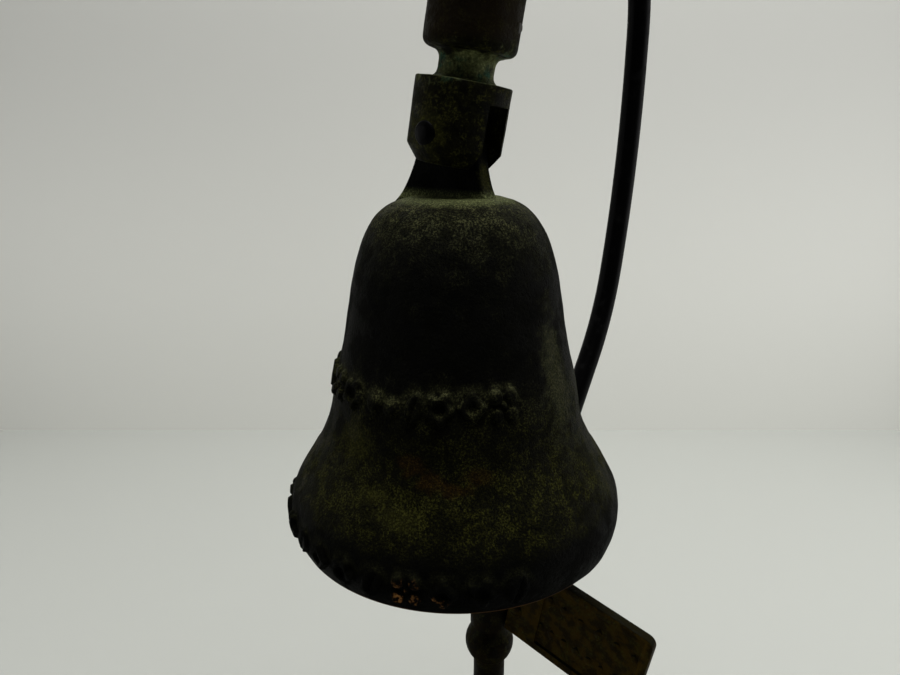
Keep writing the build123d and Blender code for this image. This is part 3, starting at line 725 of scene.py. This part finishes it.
def lozenge(across, up):
    """A diamond with a sunk middle."""
    reach = abs(across) + abs(up)
    return smooth_step(1.0, 0.80, reach) * (1 - 0.75 * smooth_step(0.46, 0.26, reach))


def leaf(across, up):
    """A pointed leaf that leans, with a sunk vein."""
    along = up * 0.93 + across * 0.36
    side = across * 0.93 - up * 0.36
    reach = abs(side) / max(0.05, 0.72 * (1 - along * along)) if abs(along) < 1 else 2.0
    return smooth_step(1.0, 0.66, reach) * (1 - 0.6 * smooth_step(0.16, 0.03, abs(side)))


def rosette(across, up):
    """Five round petals about a sunk eye."""
    reach = math.hypot(across, up)
    edge = 0.84 + 0.16 * math.cos(5 * math.atan2(up, across) + 0.6)
    return smooth_step(edge, edge - 0.18, reach) * (1 - 0.9 * smooth_step(0.46, 0.30, reach))


def quatrefoil(across, up):
    """Four round lobes that stand apart, with a pellet in the middle."""
    lobe = math.hypot(abs(across) - 0.50, abs(up) - 0.50)
    return max(smooth_step(0.50, 0.26, lobe), 0.8 * smooth_step(0.26, 0.1, math.hypot(across, up)))


def ornament_rows(bell):
    """(shape, angle in degrees, height, half width, half height) of every motif on the bell."""
    facing = 219.3  # the side with the four larger motifs
    tall = bell.row_tall / 2
    motifs = [
        (leaf, facing - 17.2, bell.row_height, tall * 0.72, tall),
        (rosette, facing - 6.2, bell.row_height + 0.0004, tall * 0.84, tall),
        (lozenge, facing + 7.2, bell.row_height + 0.0006, tall * 0.90, tall),
        (quatrefoil, facing + 20.8, bell.row_height + 0.0006, tall * 0.86, tall),
        (pellet, facing - 27.6, bell.row_height - 0.0003, tall * 0.60, tall * 0.62),
        (pellet, facing - 36.2, bell.row_height, tall * 0.66, tall * 0.74),
    ]
    chain = (rosette, quatrefoil, lozenge, rosette, leaf, quatrefoil, leaf, lozenge, rosette, quatrefoil)
    for number, shape in enumerate(chain):
        angle = facing - 50.5 - 15.4 * number
        motifs.append((shape, angle, bell.row_height, tall * 0.94, tall))
    band = bell.lip_tall / 2
    order = (leaf, rosette, lozenge, quatrefoil, leaf, rosette, lozenge)
    for number in range(20):
        angle = facing + 18.2 - 10.6 * number
        motifs.append((order[number % len(order)], angle, bell.lip_height, band * 0.98, band))
    return motifs


def relief_at(motifs, angle, height, radius):
    """How high the ornament stands at a place, and how near the place is to a motif's upper outline."""
    best = 0.0
    near = 0.0
    for shape, centre, level, half_width, half_height in motifs:
        up = (height - level) / half_height
        if abs(up) > 1.5:
            continue
        turn = (angle - centre + 180) % 360 - 180
        across = math.radians(turn) * radius / half_width
        if abs(across) < 1.4:
            reach = math.hypot(across, up)
            outline = smooth_step(0.78, 0.95, reach) * smooth_step(1.35, 1.05, reach)
            near = max(near, outline * smooth_step(0.0, 0.5, up))
            if abs(across) < 1.1 and abs(up) < 1.1:
                best = max(best, shape(across, up))
    return best, near


# ---- pieces -----------------------------------------------------------------------------------


def cad_tree(node):
    mesh = frame["nodes"][node].data
    return BVHTree.FromPolygons([v.co for v in mesh.vertices], [p.vertices for p in mesh.polygons])


def bell_outline(bell):
    """The bell's section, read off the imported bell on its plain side, from crown to rim to ceiling."""
    solid = cad_tree("bell")
    outward = Vector((-0.7, 0.7, 0)).normalized()
    ornament_step, crown_step, plain_step = 0.00028, 0.0005, 0.0011
    rim_band, crown_band, clear = 0.0012, 0.004, 0.0004
    outside, inside = outward * 0.06, outward * 0.009
    levels = [CROWN - 0.0001]
    while levels[-1] > BELL_RIM + rim_band:
        level = levels[-1]
        near_row = abs(level - bell.row_height) < bell.row_tall * 0.62
        near_lip = abs(level - bell.lip_height) < bell.lip_tall * 0.66
        near_crown = level > CROWN - crown_band
        step = ornament_step if near_row or near_lip else crown_step if near_crown else plain_step
        levels.append(level - step)
    ceiling_level = CROWN - bell.crown_thickness
    outer = []
    inner = []
    for level in levels:
        axis_point = Vector((PIN.x, PIN.y, level))
        hit = solid.ray_cast(axis_point + outside, -outward)[0]
        outer.append(((hit - axis_point).length, level))
        if level < ceiling_level - clear:
            inner_hit = solid.ray_cast(axis_point + inside, outward)[0]
            inner.append(((inner_hit - axis_point).length, level))
    inner = inner[::3]
    rim_out, rim_in = outer[-1][0], inner[-1][0]
    rim = [
        (rim_out - 0.0001, BELL_RIM + 0.0006),
        (rim_out - 0.0005, BELL_RIM + 0.00015),
        (rim_out - 0.0011, BELL_RIM),
        (rim_in + 0.0009, BELL_RIM),
        (rim_in + 0.0004, BELL_RIM + 0.0002),
        (rim_in + 0.0001, BELL_RIM + 0.0007),
    ]
    flat = [(share * outer[0][0], CROWN) for share in (0.0, 0.3, 0.6, 0.85)]
    ceiling = [(share * inner[0][0], ceiling_level) for share in (0.8, 0.4, 0.0)]
    return flat + outer + rim + inner[::-1] + ceiling


def lug_mesh(bell):
    """The cast lug: a tapering tongue with a rounded top and a flared foot sunk in the crown."""
    rise = PIN.z - CROWN
    waist = 0.0005
    flare_start, flare_height = 0.0016, 0.0011
    flare_thick, flare_wide = 0.0012, 0.0008
    bm = bmesh.new()
    heights = (-0.0030, -0.0016, -0.0006, 0.0002, 0.0010, 0.0022, 0.0045, 0.0070, rise, rise + 0.0022)
    crest = bell.lug_crest
    heights += (rise + crest * 0.72, rise + crest * 0.90, rise + crest * 0.985)
    for height in heights:
        share = height / rise
        half_width = (bell.lug_foot_width * (1 - share) + bell.lug_pin_width * share) / 2
        if height > rise:
            half_width = bell.lug_pin_width / 2 * math.sqrt(1 - ((height - rise) / crest) ** 2)
        elif height > 0:
            half_width -= waist * math.sin(math.pi * share)
        shift = bell.lug_foot_shift * (1 - share) + bell.lug_pin_shift * share
        spread = min(1.0, math.exp(-(height + flare_start) / flare_height))
        half_thickness = bell.lug_thickness / 2 + flare_thick * spread
        half_width += flare_wide * spread
        ring = bmesh.ops.create_grid(bm, x_segments=1, y_segments=1, size=1)["verts"]
        for vert in ring:
            vert.co = Vector((vert.co.x * half_thickness, shift + vert.co.y * half_width, height))
        bmesh.ops.bevel(
            bm,
            geom=ring,
            offset=min(half_thickness, half_width) * 0.42,
            offset_type="OFFSET",
            segments=4,
            profile=0.5,
            affect="VERTICES",
            clamp_overlap=True,
            material=-1,
        )
    faces = sorted(bm.faces, key=lambda f: f.calc_center_median().z)
    rings = [list(face.edges) for face in faces]
    bmesh.ops.delete(bm, geom=faces[1:-1], context="FACES_ONLY")
    for lower, upper in zip(rings, rings[1:]):
        bmesh.ops.bridge_loops(bm, edges=lower + upper)
    bmesh.ops.recalc_face_normals(bm, faces=bm.faces)
    bmesh.ops.translate(bm, vec=(PIN.x + bell.lug_offset, PIN.y, CROWN), verts=bm.verts)
    return bm


class BELL_OT_casting(bpy.types.Operator):
    """Make the bell with its ornament and lug"""

    bl_idname = "bell.casting"
    bl_label = "Bell Casting"

    def execute(self, context):
        bell = context.scene.bell_shape
        steps = bell.steps
        bm = lathe(bell_outline(bell), steps)
        motifs = ornament_rows(bell)
        raised = bm.verts.layers.float.new("raised")
        # this layer marks each motif's upper outline, which the finish paints with dust and a painted
        # highlight
        ledge_dust_and_highlight = bm.verts.layers.float.new("ledge_dust_and_highlight")
        bm.normal_update()
        crown_radius, rim_band = 0.015, 0.0004  # kept free of ornament, and kept flat
        moves = []
        for vert in bm.verts:
            radius = math.hypot(vert.co.x, vert.co.y)
            outside = vert.normal.x * vert.co.x + vert.normal.y * vert.co.y > 0
            height, upper = 0.0, 0.0
            if outside and radius > crown_radius:
                angle = math.degrees(math.atan2(vert.co.y, vert.co.x))
                wear = 0.82 + 0.4 * noise.noise(vert.co * 260.0)
                height, upper = relief_at(motifs, angle, vert.co.z, radius)
                height *= wear
            waves = noise.noise(vert.co * 95.0) + 0.5 * noise.noise(vert.co * 310.0)
            vert[raised] = height
            vert[ledge_dust_and_highlight] = upper
            moves.append(vert.normal * (height * bell.relief + (waves - 0.3) * bell.unevenness))
        for vert, move in zip(bm.verts, moves):
            if vert.co.z > BELL_RIM + rim_band:
                vert.co += move
        bmesh.ops.translate(bm, vec=(PIN.x, PIN.y, 0), verts=bm.verts)
        shell = to_object(bm, "bell_casting")
        lug = to_object(lug_mesh(bell), "lug")
        hole = to_object(rod(bell.hole_radius, -0.006, 0.006), "hole", pin_matrix())
        refined = lug.modifiers.new("round", "SUBSURF")
        refined.levels = 2
        refined.render_levels = 2
        cut(lug, hole)
        join(shell, lug)
        finish_piece(shell, "bell", "bell_bronze", finish("cast_bell_bronze"), "bell")
        return {"FINISHED"}


def pin_matrix():
    """Places a shape that stands on Z so that it lies on the clevis pin."""
    return Matrix.Translation(PIN) @ PIN_AXIS.to_track_quat("Z", "Y").to_matrix().to_4x4()


def join(first, *others):
    """Makes several meshes one object."""
    bm = bmesh.new()
    for obj in (first, *others):
        bm.from_mesh(obj.data)
    bm.to_mesh(first.data)
    bm.free()
    for obj in others:
        bpy.data.objects.remove(obj)


class BELL_OT_hanger(bpy.types.Operator):
    """Make the clevis, its pin, the socket and the set screw"""

    bl_idname = "bell.hanger"
    bl_label = "Hanger"

    def execute(self, context):
        sizes = context.scene.bell_hanger
        self.make_clevis(sizes)
        self.make_pin(sizes)
        self.make_socket(sizes)
        self.make_screw(sizes)
        paint_node("swivel_retaining_pin", finish("dull_steel"))
        return {"FINISHED"}

    def make_clevis(self, sizes):
        low = -sizes.clevis_below
        neck_top = sizes.clevis_above + sizes.neck_length
        cove = sizes.neck_cove
        waist = sizes.neck_radius
        lower = [
            (waist + cove * (1 - math.cos(turn)), sizes.clevis_above + cove * (1 - math.sin(turn)))
            for turn in (math.radians(step) for step in (90, 68, 45, 22, 0))
        ]
        upper = [(radius, neck_top + sizes.clevis_above - height) for radius, height in reversed(lower)]
        outline = [
            (0, low),
            (sizes.clevis_radius - 0.0020, low),
            (sizes.clevis_radius, low + 0.0028),
            (sizes.clevis_radius, sizes.clevis_above),
            *lower,
            *upper,
            (sizes.stem_radius, neck_top),
            (sizes.stem_radius, neck_top + sizes.stem_length),
            (0, neck_top + sizes.stem_length),
        ]
        bm = lathe(outline, 128, 0.00022, 0.0009)
        roughen(bm, 0.00010, 0.0035, 4.0)
        clevis = to_object(bm, "clevis_turned", hang_matrix())
        half = sizes.slot_width / 2
        middle = sizes.slot_offset
        slot = block((middle - half, -0.02, -0.02), (middle + half, 0.02, sizes.slot_above))
        cut(clevis, to_object(slot, "slot", hang_matrix()))
        cut(clevis, to_object(rod(sizes.pin_radius + 0.00002, -0.02, 0.02), "bore", pin_matrix()))
        soften(clevis, 0.00016, 40)
        finish_piece(clevis, "swivel", "hanger_bronze", finish("aged_hanger_bronze"), "clevis")

    def make_pin(self, sizes):
        seat = sizes.clevis_radius - 0.0005
        tip = seat + 0.0010
        head = sizes.pin_head_radius
        outline = [
            (0, -tip),
            (head * 0.45, -tip + 0.00008),
            (head * 0.8, -tip + 0.00035),
            (head, -seat - 0.0002),
            (head, -seat),
            (sizes.pin_radius, -seat),
            (sizes.pin_radius, seat),
            (head, seat),
            (head, seat + 0.0002),
            (head * 0.8, tip - 0.00035),
            (head * 0.45, tip - 0.00008),
            (0, tip),
        ]
        bm = lathe(outline, 64, 0.00010)
        roughen(bm, 0.00006, 0.0012, 2.0)
        pin = to_object(bm, "clevis_pin_peened", pin_matrix())
        finish_piece(pin, "swivel", "hanger_bronze", finish("black_rod"), "clevis_pin")

    def make_socket(self, sizes):
        bottom = sizes.clevis_above + sizes.neck_length + sizes.seat_gap
        top = bottom + sizes.socket_length
        radius = sizes.socket_radius
        turn = sizes.socket_rounding
        stem = sizes.stem_radius + 0.00005
        bore = sizes.rod_radius + 0.00002
        floor = top - sizes.arm_bore
        outline = [
            (stem, bottom),
            (radius - turn, bottom),
            (radius - turn * 0.5, bottom + turn * 0.134),
            (radius - turn * 0.134, bottom + turn * 0.5),
            (radius, bottom + turn),
            (radius, top - 0.0042),
            (radius - 0.00025, top - 0.0039),
            (radius - 0.00025, top - 0.0035),
            (radius, top - 0.0032),
            (radius, top - 0.0012),
            (radius - 0.0012, top),
            (bore, top),
            (bore, floor),
            (0, floor),
            (0, bottom + sizes.stem_length + 0.0003),
            (stem, bottom + sizes.stem_length + 0.0003),
        ]
        bm = lathe(outline, 128, 0.00018, 0.0010)
        roughen(bm, 0.00008, 0.004, 9.0)
        socket = to_object(bm, "socket_turned", hang_matrix())
        finish_piece(socket, "stand", "hanger_bronze", finish("aged_hanger_bronze"), "swivel_socket")

    def make_screw(self, sizes):
        start = sizes.rod_radius + 0.00005
        seat = sizes.socket_radius + 0.00005
        top = seat + sizes.screw_head
        shank, head = sizes.screw_radius, sizes.screw_head_radius
        outline = [(0, start), (shank, start), (shank, seat), (head, seat), (head, top), (0, top)]
        bm = lathe(outline, 64, 0.00014)
        angle = math.radians(-50)
        towards = PIN_AXIS * math.cos(angle) + SWIVEL_AXIS.cross(PIN_AXIS) * math.sin(angle)
        socket_low = sizes.clevis_above + sizes.neck_length + sizes.seat_gap
        up = socket_low + sizes.socket_length - sizes.arm_bore / 2
        turn = towards.to_track_quat("Z", "Y").to_matrix().to_4x4()
        place = Matrix.Translation(PIN + SWIVEL_AXIS * up) @ turn
        screw = to_object(bm, "socket_screw_slotted", place)
        groove = block((-0.01, -0.0003, top - 0.0006), (0.01, 0.0003, top + 0.001))
        cut(screw, to_object(groove, "groove", place @ Matrix.Rotation(math.radians(35), 4, "Z")))
        soften(screw, 0.00006, 40)
        finish_piece(screw, "stand", "hanger_bronze", finish("aged_hanger_bronze"), "socket_set_screw")


class BELL_OT_stand(bpy.types.Operator):
    """Make the base, the post and its collar, and finish the rod"""

    bl_idname = "bell.stand"
    bl_label = "Stand"

    def execute(self, context):
        sizes = context.scene.bell_stand
        self.make_base(sizes)
        self.make_post(sizes)
        self.make_collar(sizes)
        paint_node("arm", finish("black_rod"))
        paint_node("post_head", finish("aged_post_bronze"))
        paint_node("base_felt", finish("base_felt_green"))
        for node in ("post_head_screw", "base_washer", "base_nut"):
            paint_node(node, finish("dull_steel"))
        paint_node("base_weight", finish("forged_iron"))
        return {"FINISHED"}

    def make_base(self, sizes):
        low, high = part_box("base")
        radius = high[0] - 0.0001  # room for the roughness
        felt = low[2]
        boss = high[2]
        outline = [
            (sizes.bore, boss),
            (sizes.boss_radius, boss),
            (sizes.boss_radius, boss - 0.0015),
            (0.0104, boss - 0.0022),
            (0.0104, boss - 0.0030),
            (sizes.boss_radius, boss - 0.0037),
            (0.0113, boss - 0.0052),
            (0.0124, boss - 0.0082),
            (0.0146, boss - 0.0108),
            (0.0182, boss - 0.0128),
            (0.0240, boss - 0.0141),
            (0.0250, boss - 0.0147),
            (0.0262, boss - 0.0144),
            (0.0340, boss - 0.0150),
            (0.0430, boss - 0.0163),
            (0.0500, boss - 0.0176),
            (radius - 0.0062, boss - 0.0183),
            (radius - 0.0050, boss - 0.0182),
            (radius - 0.0012, boss - 0.0192),
            (radius, boss - 0.0205),
            (radius, felt + 0.0012),
            (radius - 0.0008, felt),
            (sizes.recess_radius, felt),
            (sizes.recess_radius, felt + sizes.recess_depth),
            (sizes.bore, felt + sizes.recess_depth),
        ]
        bm = lathe(outline, 192, 0.00045, 0.0030)
        roughen(bm, 0.00010, 0.011, 3.0)
        base = to_object(bm, "base_turned")
        finish_piece(base, "stand", "base_bronze", finish("aged_base_bronze"), "base")

    def make_post(self, sizes):
        low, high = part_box("post")
        collar_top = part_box("foot_collar")[1][2]
        sleeve_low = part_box("sign_sleeve")[0][2]
        head_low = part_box("post_head")[0][2]
        bead_top = sleeve_low - 0.0001
        bead_low = bead_top - sizes.bead_height
        bead = high[1]
        shaft, spigot = sizes.shaft_radius, sizes.spigot_radius
        shoulder, tip = sizes.shoulder_radius, sizes.tip_radius
        arc = [
            (shaft + (bead - shaft) * math.sin(math.pi * share) ** 0.75, bead_low + 0.0006 + 0.0086 * share)
            for share in (0.0, 0.08, 0.18, 0.3, 0.42, 0.54, 0.66, 0.78, 0.88)
        ]
        outline = [
            (0, low[2]),
            (spigot, low[2]),
            (spigot, collar_top),
            (shaft, collar_top),
            (shaft, bead_low),
            *arc,
            (shoulder, bead_top - 0.0005),
            (shoulder, bead_top),
            (spigot, bead_top),
            (spigot, head_low),
            (tip, head_low),
            (tip, high[2]),
            (0, high[2]),
        ]
        bm = lathe(outline, 96, 0.00012, 0.0015)
        roughen(bm, 0.00006, 0.005, 6.0)
        post = to_object(bm, "post_turned")
        finish_piece(post, "stand", "post_bronze", finish("aged_post_bronze"), "post")

    def make_collar(self, sizes):
        low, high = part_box("foot_collar")
        reach = high[0]
        tall = high[2] - low[2]
        outline = [
            (sizes.collar_bore, low[2]),
            (reach - 0.0010, low[2]),
            (reach - 0.0004, low[2] + tall * 0.12),
            (reach, low[2] + tall * 0.40),
            (reach - 0.0006, low[2] + tall * 0.66),
            (reach - 0.0020, low[2] + tall * 0.80),
            (reach - 0.0034, low[2] + tall * 0.86),
            (0.0046, high[2]),
            (sizes.collar_bore, high[2]),
        ]
        collar = to_object(lathe(outline, 96, 0.00020), "foot_collar_turned")
        finish_piece(collar, "stand", "post_bronze", finish("aged_post_bronze"), "foot_collar")


def sign_matrix(sizes):
    """Places a shape drawn in XY so that X runs out and down along the plate and Z looks along -X."""
    out = Vector((0, -math.cos(sizes.droop), -math.sin(sizes.droop)))
    outward = Vector((-1, 0, 0))
    up = outward.cross(out)
    turn = Matrix((out, up, outward)).transposed().to_4x4()
    return Matrix.Translation((0, 0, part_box("sign_sleeve")[0][2] + sizes.height)) @ turn


class BELL_OT_sign(bpy.types.Operator):
    """Make the sign plate and its rivets"""

    bl_idname = "bell.sign"
    bl_label = "Sign"

    def execute(self, context):
        sizes = context.scene.bell_sign
        self.make_plate(sizes)
        self.make_rivets(sizes)
        paint_node("sign_sleeve", finish("aged_post_bronze"))
        paint_node("sign_washer", finish("aged_post_bronze"))
        return {"FINISHED"}

    def make_plate(self, sizes):
        half = sizes.half_height
        start, end = sizes.near_end, sizes.far_end
        clip = sizes.clip
        clip_drop = clip + 0.0036
        thick = sizes.thickness / 2
        bm = bmesh.new()
        corners = [(start, -half), (end, -half), (end, half), (start + clip, half), (start, half - clip_drop)]
        verts = [bm.verts.new((x, y, -thick)) for x, y in corners]
        face = bm.faces.new(verts)
        round_corners = [v for v in verts if v.co.x > end - 0.001]
        bmesh.ops.bevel(
            bm,
            geom=round_corners,
            offset=sizes.corner,
            offset_type="OFFSET",
            segments=6,
            profile=0.5,
            affect="VERTICES",
            clamp_overlap=True,
            material=-1,
        )
        raised = bmesh.ops.extrude_face_region(bm, geom=bm.faces[:])
        moved = [item for item in raised["geom"] if isinstance(item, bmesh.types.BMVert)]
        bmesh.ops.translate(bm, vec=(0, 0, sizes.thickness), verts=moved)
        bmesh.ops.recalc_face_normals(bm, faces=bm.faces)
        plate = to_object(bm, "sign_plate_stamped", sign_matrix(sizes))
        field = block(
            (start + clip + sizes.border, -half + sizes.border, thick - sizes.sunk),
            (end - sizes.border, half - sizes.border, thick + 0.002),
            0.0004,
        )
        cut(plate, to_object(field, "field", sign_matrix(sizes)))
        marks = self.stamped_marks(sizes.marks_middle, thick - sizes.sunk)
        soften(plate, 0.00022, 40)
        join_evaluated(plate, to_object(marks, "marks", sign_matrix(sizes)))
        finish_piece(plate, "sign", "sign_bronze", finish("aged_sign_bronze"), "sign_plate")

    def stamped_marks(self, rows_middle, level):
        """Two rows of plain raised pellets and lozenges."""
        bm = bmesh.new()
        rows = ((0.0039, 6, 0.0040), (-0.0039, 8, 0.0030))  # place across the plate, count, pitch
        for across, count, pitch in rows:
            for number in range(count):
                middle = rows_middle + (number - (count - 1) / 2) * pitch
                sides = 4 if number % 2 else 12
                radius = 0.00125 if sides == 12 else 0.0016
                made = bmesh.ops.create_cone(
                    bm,
                    cap_ends=True,
                    segments=sides,
                    radius1=radius,
                    radius2=radius * 0.72,
                    depth=0.0005,
                )
                worn = noise.noise(Vector((middle, across, 0)) * 900)
                spot = (middle + worn * 0.0003, across, level - 0.00005 + worn * 0.00015)
                place = Matrix.Translation(spot) @ Matrix.Diagonal((0.85, 1.2 + worn * 0.5, 1, 1))
                bmesh.ops.transform(bm, matrix=place, verts=made["verts"])
        tops = [e for e in bm.edges if all(v.co.z > level + 0.0003 for v in e.verts)]
        round_edges(bm, tops, 0.00018, 2)
        return bm

    def make_rivets(self, sizes):
        shank, head = 0.0010, 0.0019
        front = sizes.thickness / 2
        sleeve_wall = 0.0016
        back = front - sizes.thickness - sleeve_wall
        outline = [
            (0, back - 0.0008),
            (head * 0.5, back - 0.00072),
            (head * 0.85, back - 0.0004),
            (head, back),
            (shank, back),
            (shank, front),
            (head, front),
            (head * 0.85, front + 0.0004),
            (head * 0.5, front + 0.00072),
            (0, front + 0.0008),
        ]
        pieces = []
        for across in (-sizes.rivet_spread, sizes.rivet_spread):
            place = sign_matrix(sizes) @ Matrix.Translation((sizes.rivet_place, across, 0))
            pieces.append(to_object(lathe(outline, 40, 0.00008), "sign_rivets_domed", place))
        join(*pieces)
        finish_piece(pieces[0], "sign", "sign_bronze", finish("aged_sign_bronze"), "sign_rivets")


def join_evaluated(first, other):
    """Applies the first piece's modifiers, then adds the other mesh to it."""
    graph = bpy.context.evaluated_depsgraph_get()
    mesh = bpy.data.meshes.new_from_object(first.evaluated_get(graph))
    first.modifiers.clear()
    first.data = mesh
    join(first, other)


class BELL_OT_clapper(bpy.types.Operator):
    """Make the clapper's ball and finish its ironwork"""

    bl_idname = "bell.clapper"
    bl_label = "Clapper"

    def execute(self, context):
        low, high = (Vector(corner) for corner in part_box("clapper_ball"))
        radius = (high.y - low.y) / 2
        middle = low.z + radius
        turns = [math.pi * step / 24 for step in range(1, 22)]
        outline = [(0, low.z)]
        outline += [(radius * math.sin(turn), middle - radius * math.cos(turn)) for turn in turns]
        # a small hollow round the rod
        outline += [(0.0022, middle + radius * 0.985), (0.0016, middle + radius * 0.975)]
        outline.append((0, middle + radius * 0.97))
        bm = lathe(outline, 64)
        roughen(bm, 0.00022, 0.0035, 5.0)
        bmesh.ops.translate(bm, vec=(PIN.x, PIN.y, 0), verts=bm.verts)
        ball = to_object(bm, "clapper_ball_forged")
        finish_piece(ball, "clapper", "clapper_iron", finish("forged_iron"), "clapper_ball")
        for node in ("clapper_staple", "clapper_link", "clapper_rod"):
            paint_node(node, finish("forged_iron"))
        return {"FINISHED"}


# ---- stage --------------------------------------------------------------------------------------


def stage_material(name, tint, painted_shade_above=None):
    """Matt paper that shows from its front only. Its tone may fall off between two heights, as painted shade.
    """
    material, tree, shader = new_material(name)
    shader.inputs["Base Color"].default_value = rgba(tint)
    if painted_shade_above:
        place = add(tree, "ShaderNodeTexCoord").outputs["Object"]
        height = add(tree, "ShaderNodeSeparateXYZ", {0: place}).outputs[2]
        # painted shade: the paper darkens to 0.70 of its tone between the two heights
        tone = mix(tree, ramp(tree, height, *painted_shade_above), rgba(tint), shade(tint, 0.70))
        tree.links.new(tone, shader.inputs["Base Color"])
    shader.inputs["Roughness"].default_value = 0.85
    clear = add(tree, "ShaderNodeBsdfTransparent")
    behind = add(tree, "ShaderNodeNewGeometry").outputs["Backfacing"]
    both = add(tree, "ShaderNodeMixShader", {0: behind, 1: shader.outputs[0], 2: clear.outputs[0]})
    output = next(node for node in tree.nodes if node.type == "OUTPUT_MATERIAL")
    tree.links.new(both.outputs[0], output.inputs["Surface"])
    return material


def area_light(name, place, target, size, power, tint=(1.0, 1.0, 1.0)):
    data = bpy.data.lights.new(name, "AREA")
    data.shape = "DISK"
    data.size = size
    data.energy = power
    data.color = tint
    lamp = bpy.data.objects.new(name, data)
    way = Vector(target) - Vector(place)
    lamp.matrix_world = Matrix.Translation(place) @ way.to_track_quat("-Z", "Y").to_matrix().to_4x4()
    bpy.context.scene.collection.objects.link(lamp)


class BELL_OT_stage(bpy.types.Operator):
    """Set up the backdrop, the lights and the camera"""

    bl_idname = "bell.stage"
    bl_label = "Stage"

    def execute(self, context):
        stage = context.scene.bell_stage
        eye = Vector(stage.eye)
        ahead = Vector((math.cos(stage.heading), math.sin(stage.heading), 0))
        side = Vector((ahead.y, -ahead.x, 0))
        wall_foot = Vector((eye.x, eye.y, 0)) + ahead * stage.wall_distance
        floor_paper = stage_material("floor_paper", (0.45, 0.46, 0.43))
        # the wall is painted darker from 0.08 m up to 0.29 m, a painted shade
        wall_paper = stage_material("wall_paper", (0.80, 0.80, 0.755), (0.08, 0.29))
        reach = 1.6
        half_wall = Vector((0, 0, 0.8))
        self.plane("floor", wall_foot - ahead * reach, side * reach, ahead * reach, floor_paper)
        self.plane("wall", wall_foot + half_wall, side * reach, half_wall, wall_paper)
        world = bpy.data.worlds.new("even_light")
        world.use_nodes = True
        background = world.node_tree.nodes["Background"]
        background.inputs["Color"].default_value = (0.86, 0.89, 0.86, 1)
        background.inputs["Strength"].default_value = stage.world_light
        context.scene.world = world
        context.scene.view_settings.view_transform = "Standard"
        aim = wall_foot + side * 0.12
        above = aim - ahead * 0.32 + Vector((0, 0, 0.85))
        area_light("wall_wash", above, aim + Vector((0, 0, 0.02)), 0.5, stage.wall_light)
        middle = Vector((PIN.x, PIN.y, 0.16))
        for name, offset, share in (("left_sheet", -0.42, 0.8), ("right_sheet", 0.42, 1.3)):
            place = middle + side * offset + ahead * 0.06 + Vector((0, 0, 0.05))
            area_light(name, place, middle, 0.35, stage.side_light * share)
        overhead = Vector((0.05, 0.03, 0.75))
        area_light("overhead", overhead, (0, 0, 0.1), 0.45, stage.top_light, (1.0, 1.0, 0.97))
        self.camera(context, stage, eye, ahead)
        return {"FINISHED"}

    def plane(self, name, middle, half_across, half_up, material):
        bm = bmesh.new()
        bmesh.ops.create_grid(bm, x_segments=1, y_segments=1, size=1)
        normal = half_across.cross(half_up).normalized()
        turn = Matrix((half_across, half_up, normal)).transposed().to_4x4()
        sheet = to_object(bm, name, Matrix.Translation(middle) @ turn)
        sheet.data.materials.append(material)

    def camera(self, context, stage, eye, ahead):
        data = bpy.data.cameras.new("camera")
        data.lens = stage.focal
        data.sensor_width = 36.0
        data.clip_start = 0.005
        camera = bpy.data.objects.new("camera", data)
        way = ahead * math.cos(stage.pitch) - Vector((0, 0, math.sin(stage.pitch)))
        camera.matrix_world = Matrix.Translation(eye) @ way.to_track_quat("-Z", "Y").to_matrix().to_4x4()
        context.scene.collection.objects.link(camera)
        context.scene.camera = camera


class BELL_PT_panel(bpy.types.Panel):
    """The steps that make the bell and its stand"""

    bl_label = "Bell"
    bl_idname = "BELL_PT_panel"
    bl_space_type = "VIEW_3D"
    bl_region_type = "UI"
    bl_category = "Bell"

    def draw(self, context):
        for operator in STEPS:
            self.layout.operator(operator.bl_idname)


SETTINGS = {
    "bell_shape": BellSettings,
    "bell_hanger": HangerSettings,
    "bell_stand": StandSettings,
    "bell_sign": SignSettings,
    "bell_finishes": FinishSettings,
    "bell_stage": StageSettings,
}
STEPS = (BELL_OT_stage, BELL_OT_casting, BELL_OT_hanger, BELL_OT_stand, BELL_OT_sign, BELL_OT_clapper)


def register():
    for cls in (*SETTINGS.values(), *STEPS, BELL_PT_panel):
        bpy.utils.register_class(cls)
    for name, cls in SETTINGS.items():
        setattr(bpy.types.Scene, name, PointerProperty(type=cls))


def unregister():
    for name in SETTINGS:
        delattr(bpy.types.Scene, name)
    for cls in reversed((*SETTINGS.values(), *STEPS, BELL_PT_panel)):
        bpy.utils.unregister_class(cls)


def main():
    register()
    bpy.ops.bell.stage()
    bpy.ops.bell.casting()
    bpy.ops.bell.hanger()
    bpy.ops.bell.stand()
    bpy.ops.bell.sign()
    bpy.ops.bell.clapper()


if __name__ == "__main__":
    main()
